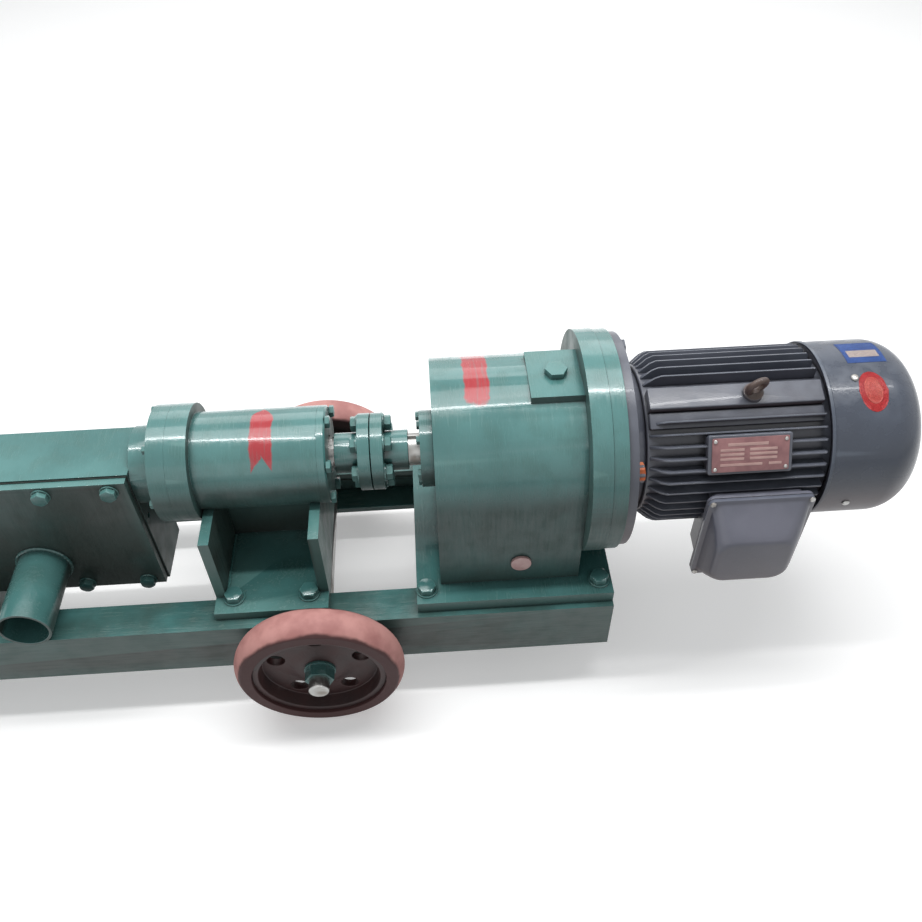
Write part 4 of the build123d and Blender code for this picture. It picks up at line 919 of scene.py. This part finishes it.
cowl_x = low("fan_cowl").x
red_x, blue_x, field_rise = cowl_x + 50 * mm, cowl_x + 54 * mm, 0.45 * mm
sticker("red_sticker", red_vinyl, red_x, 113.5, 32 * mm, 48 * mm, True)
sticker("red_sticker_centre", worn_red_vinyl, red_x, 113.0, 20 * mm, 32 * mm, True, field_rise)
sticker("blue_sticker", blue_vinyl, blue_x, 80.0, 44 * mm, 42 * mm, False)
sticker("blue_sticker_field", pale_vinyl, blue_x, 83.0, 34 * mm, 13 * mm, False, field_rise)
cowl_screws = bmesh.new()
for angle in (14.0, 104.0, 194.0, 284.0):
    spot = stand(on_cowl(cowl_x + 33 * mm, angle, -0.3 * mm), out_at(angle))
    turned(cowl_screws, spot, in_mm((0, 4.2), (1.4, 4.2), (2.6, 3.2), (3.0, 1.2)), 24)
make("cowl_screws", cowl_screws, steel, body_of["fan_cowl"])
cowl_lip = bmesh.new()
hoop(cowl_lip, [
    ring_at(cowl_lip, on_shaft(cowl_x), along, [cowl_radius + rise] * 96)
    for along, rise in in_mm((0, -1.0), (0, 0.9), (1.0, 1.4), (3.2, 1.4), (4.4, 0.2), (4.4, -1.0))
])
make("cowl_lip", cowl_lip, cowl_paint, body_of["fan_cowl"])

# One bolt head on the motor flange is amber.
flange_bolt_circle, flange_depth, amber_angle = 107.5 * mm, 17 * mm, 155
amber_out = out_at(amber_angle) * flange_bolt_circle
amber = bmesh.new()
amber_place = moved(on_shaft(x_barrel - flange_depth), amber_out.y, amber_out.z, 0)
hexagon(amber, amber_place, 0, 8.2 * mm, 19.9 * mm)
make("amber_bolt", amber, amber_paint, body_of["flange_bolts"])

# ---------------------------------------------------------------- welds and gasket
inlet_radius = (high("inlet_pipe").x - low("inlet_pipe").x) / 2
inlet_root = centre("inlet_pipe")
inlet_root.y = high("inlet_pipe").y - 1 * mm
weld("inlet_weld", circle_path(inlet_root, (0, -1, 0), inlet_radius + 0.8 * mm), 2.4 * mm)

bracket_low, bracket_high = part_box("bearing_bracket")
seam_inset, seam_start, seam_end = 12.6 * mm, 7 * mm, 100 * mm
seam_z = bracket_low.z + 12 * mm
for k, x in enumerate((bracket_low.x + seam_inset, bracket_high.x - seam_inset)):
    for side, label in ((-1, "near"), (1, "far")):
        seam = line_path((x, side * seam_start, seam_z), (x, side * seam_end, seam_z))
        weld(f"bracket_weld_{k}_{label}", seam, 2.6 * mm, False)

neck_radius = 46 * mm
neck_root = Vector((high("side_cover").x + 2.6 * mm, 0, shaft_height))
weld("neck_weld", circle_path(neck_root, (1, 0, 0), neck_radius), 2.4 * mm)

leg_low, leg_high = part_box("rest_legs")
leg_inset, leg_wall, leg_foot = 14 * mm, 9 * mm, 10.5 * mm
for k, side in enumerate((-1, 1)):
    y, z = side * (leg_high.y - leg_wall), leg_low.z + leg_foot
    seam = line_path((leg_low.x + leg_inset, y, z), (leg_high.x - leg_inset, y, z))
    weld(f"leg_weld_{k}", seam, 2.2 * mm, False)

gasket_overhang = 2.4 * mm
cover_size = high("side_cover") - low("side_cover")
gasket_root = centre("side_cover")
gasket_root.y = high("side_cover").y + 0.2 * mm
gasket_bm = bmesh.new()
block(gasket_bm, stand(gasket_root, (0, -1, 0)), box_levels(
    0, 1.6 * mm, cover_size.x + gasket_overhang, cover_size.z + gasket_overhang,
    2 * mm, 0.3 * mm,
))
make("cover_gasket", gasket_bm, gasket, body_of["side_cover"])

# ---------------------------------------------------------------- wheels
soften_all(
    ("near_wheel", wheel_paint, 1.4),
    ("near_tyre", tyre_rubber, 1.0),
    ("far_wheel", wheel_paint, 1.4),
    ("far_tyre", tyre_rubber, 1.0),
    ("axle", steel, 0.6),
    ("axle_nuts", nut_enamel, 0.8),
)


# ---------------------------------------------------------------- floor, light and camera
def grey(level):
    return (level, level, level, 1.0)


floor_finish = Finish("studio_floor", "")
seen = floor_finish.seen()
floor_finish.skin(
    Base_Color=floor_finish.mix(seen, grey(0.34), grey(0.80)),
    Emission_Color=floor_finish.mix(seen, grey(0.0), grey(0.34)),
    Roughness=0.9,
    Specular_IOR_Level=0.1,
    Emission_Strength=1.0,
)
floor_mesh = bpy.data.meshes.new("floor")
reach = 9.0
floor_corners = [(-reach, -reach, 0), (reach, -reach, 0), (reach, reach, 0), (-reach, reach, 0)]
floor_mesh.from_pydata(floor_corners, [], [(0, 1, 2, 3)])
floor_mesh.materials.append(floor_finish.material)
floor = bpy.data.objects.new("floor", floor_mesh)
bpy.context.scene.collection.objects.link(floor)


def softbox(name, place, aim, length, width, power):
    """Soft area lamp at a place, looking at its aim."""
    lamp = bpy.data.lights.new(name, "AREA")
    lamp.shape = "RECTANGLE"
    lamp.size = length
    lamp.size_y = width
    lamp.energy = power
    held = bpy.data.objects.new(name, lamp)
    bpy.context.scene.collection.objects.link(held)
    held.location = place
    held.rotation_euler = (Vector(aim) - Vector(place)).to_track_quat("-Z", "Y").to_euler()


softbox("strip_lamp", (0.2, 0.10, 2.2), (0.2, 0.0, 0.2), 3.4, 0.09, 30)
softbox("ceiling", (0.2, 0.5, 2.3), (0.2, 0.0, 0.2), 2.6, 1.0, 26)
softbox("back_window", (0.4, 2.3, 1.6), (0.2, 0.0, 0.3), 2.8, 1.2, 18)
softbox("front_fill", (-0.8, -2.4, 1.3), (0.1, 0.0, 0.2), 2.2, 1.4, 5)

# The room is white to look at, and lights the machine as a darker one.
world = bpy.data.worlds.new("room")
bpy.context.scene.world = world
world.use_nodes = True
room = Graph(world.node_tree)
backdrop = room.tree.nodes["Background"].inputs
room.feed(backdrop["Color"], room.mix(room.seen(), (0.29, 0.30, 0.305, 1.0), grey(1.0)))
room.feed(backdrop["Strength"], 1.0)

camera_place = (0.280, -0.7326, 1.0383)
yaw, pitch, roll = radians(2.52), radians(46.82), radians(1.37)
forward = Vector((sin(yaw) * cos(pitch), cos(yaw) * cos(pitch), -sin(pitch)))
level = forward.cross(Vector((0, 0, 1))).normalized()
right = Matrix.Rotation(roll, 3, forward) @ level
up = right.cross(forward)
lens = bpy.data.cameras.new("camera")
lens.lens = 35.02
lens.sensor_width = 36.0
camera = bpy.data.objects.new("camera", lens)
bpy.context.scene.collection.objects.link(camera)
facing = Matrix((right, up, -forward)).transposed().to_4x4()
camera.matrix_world = Matrix.Translation(camera_place) @ facing
bpy.context.scene.camera = camera
bpy.context.scene.view_settings.view_transform = "Standard"
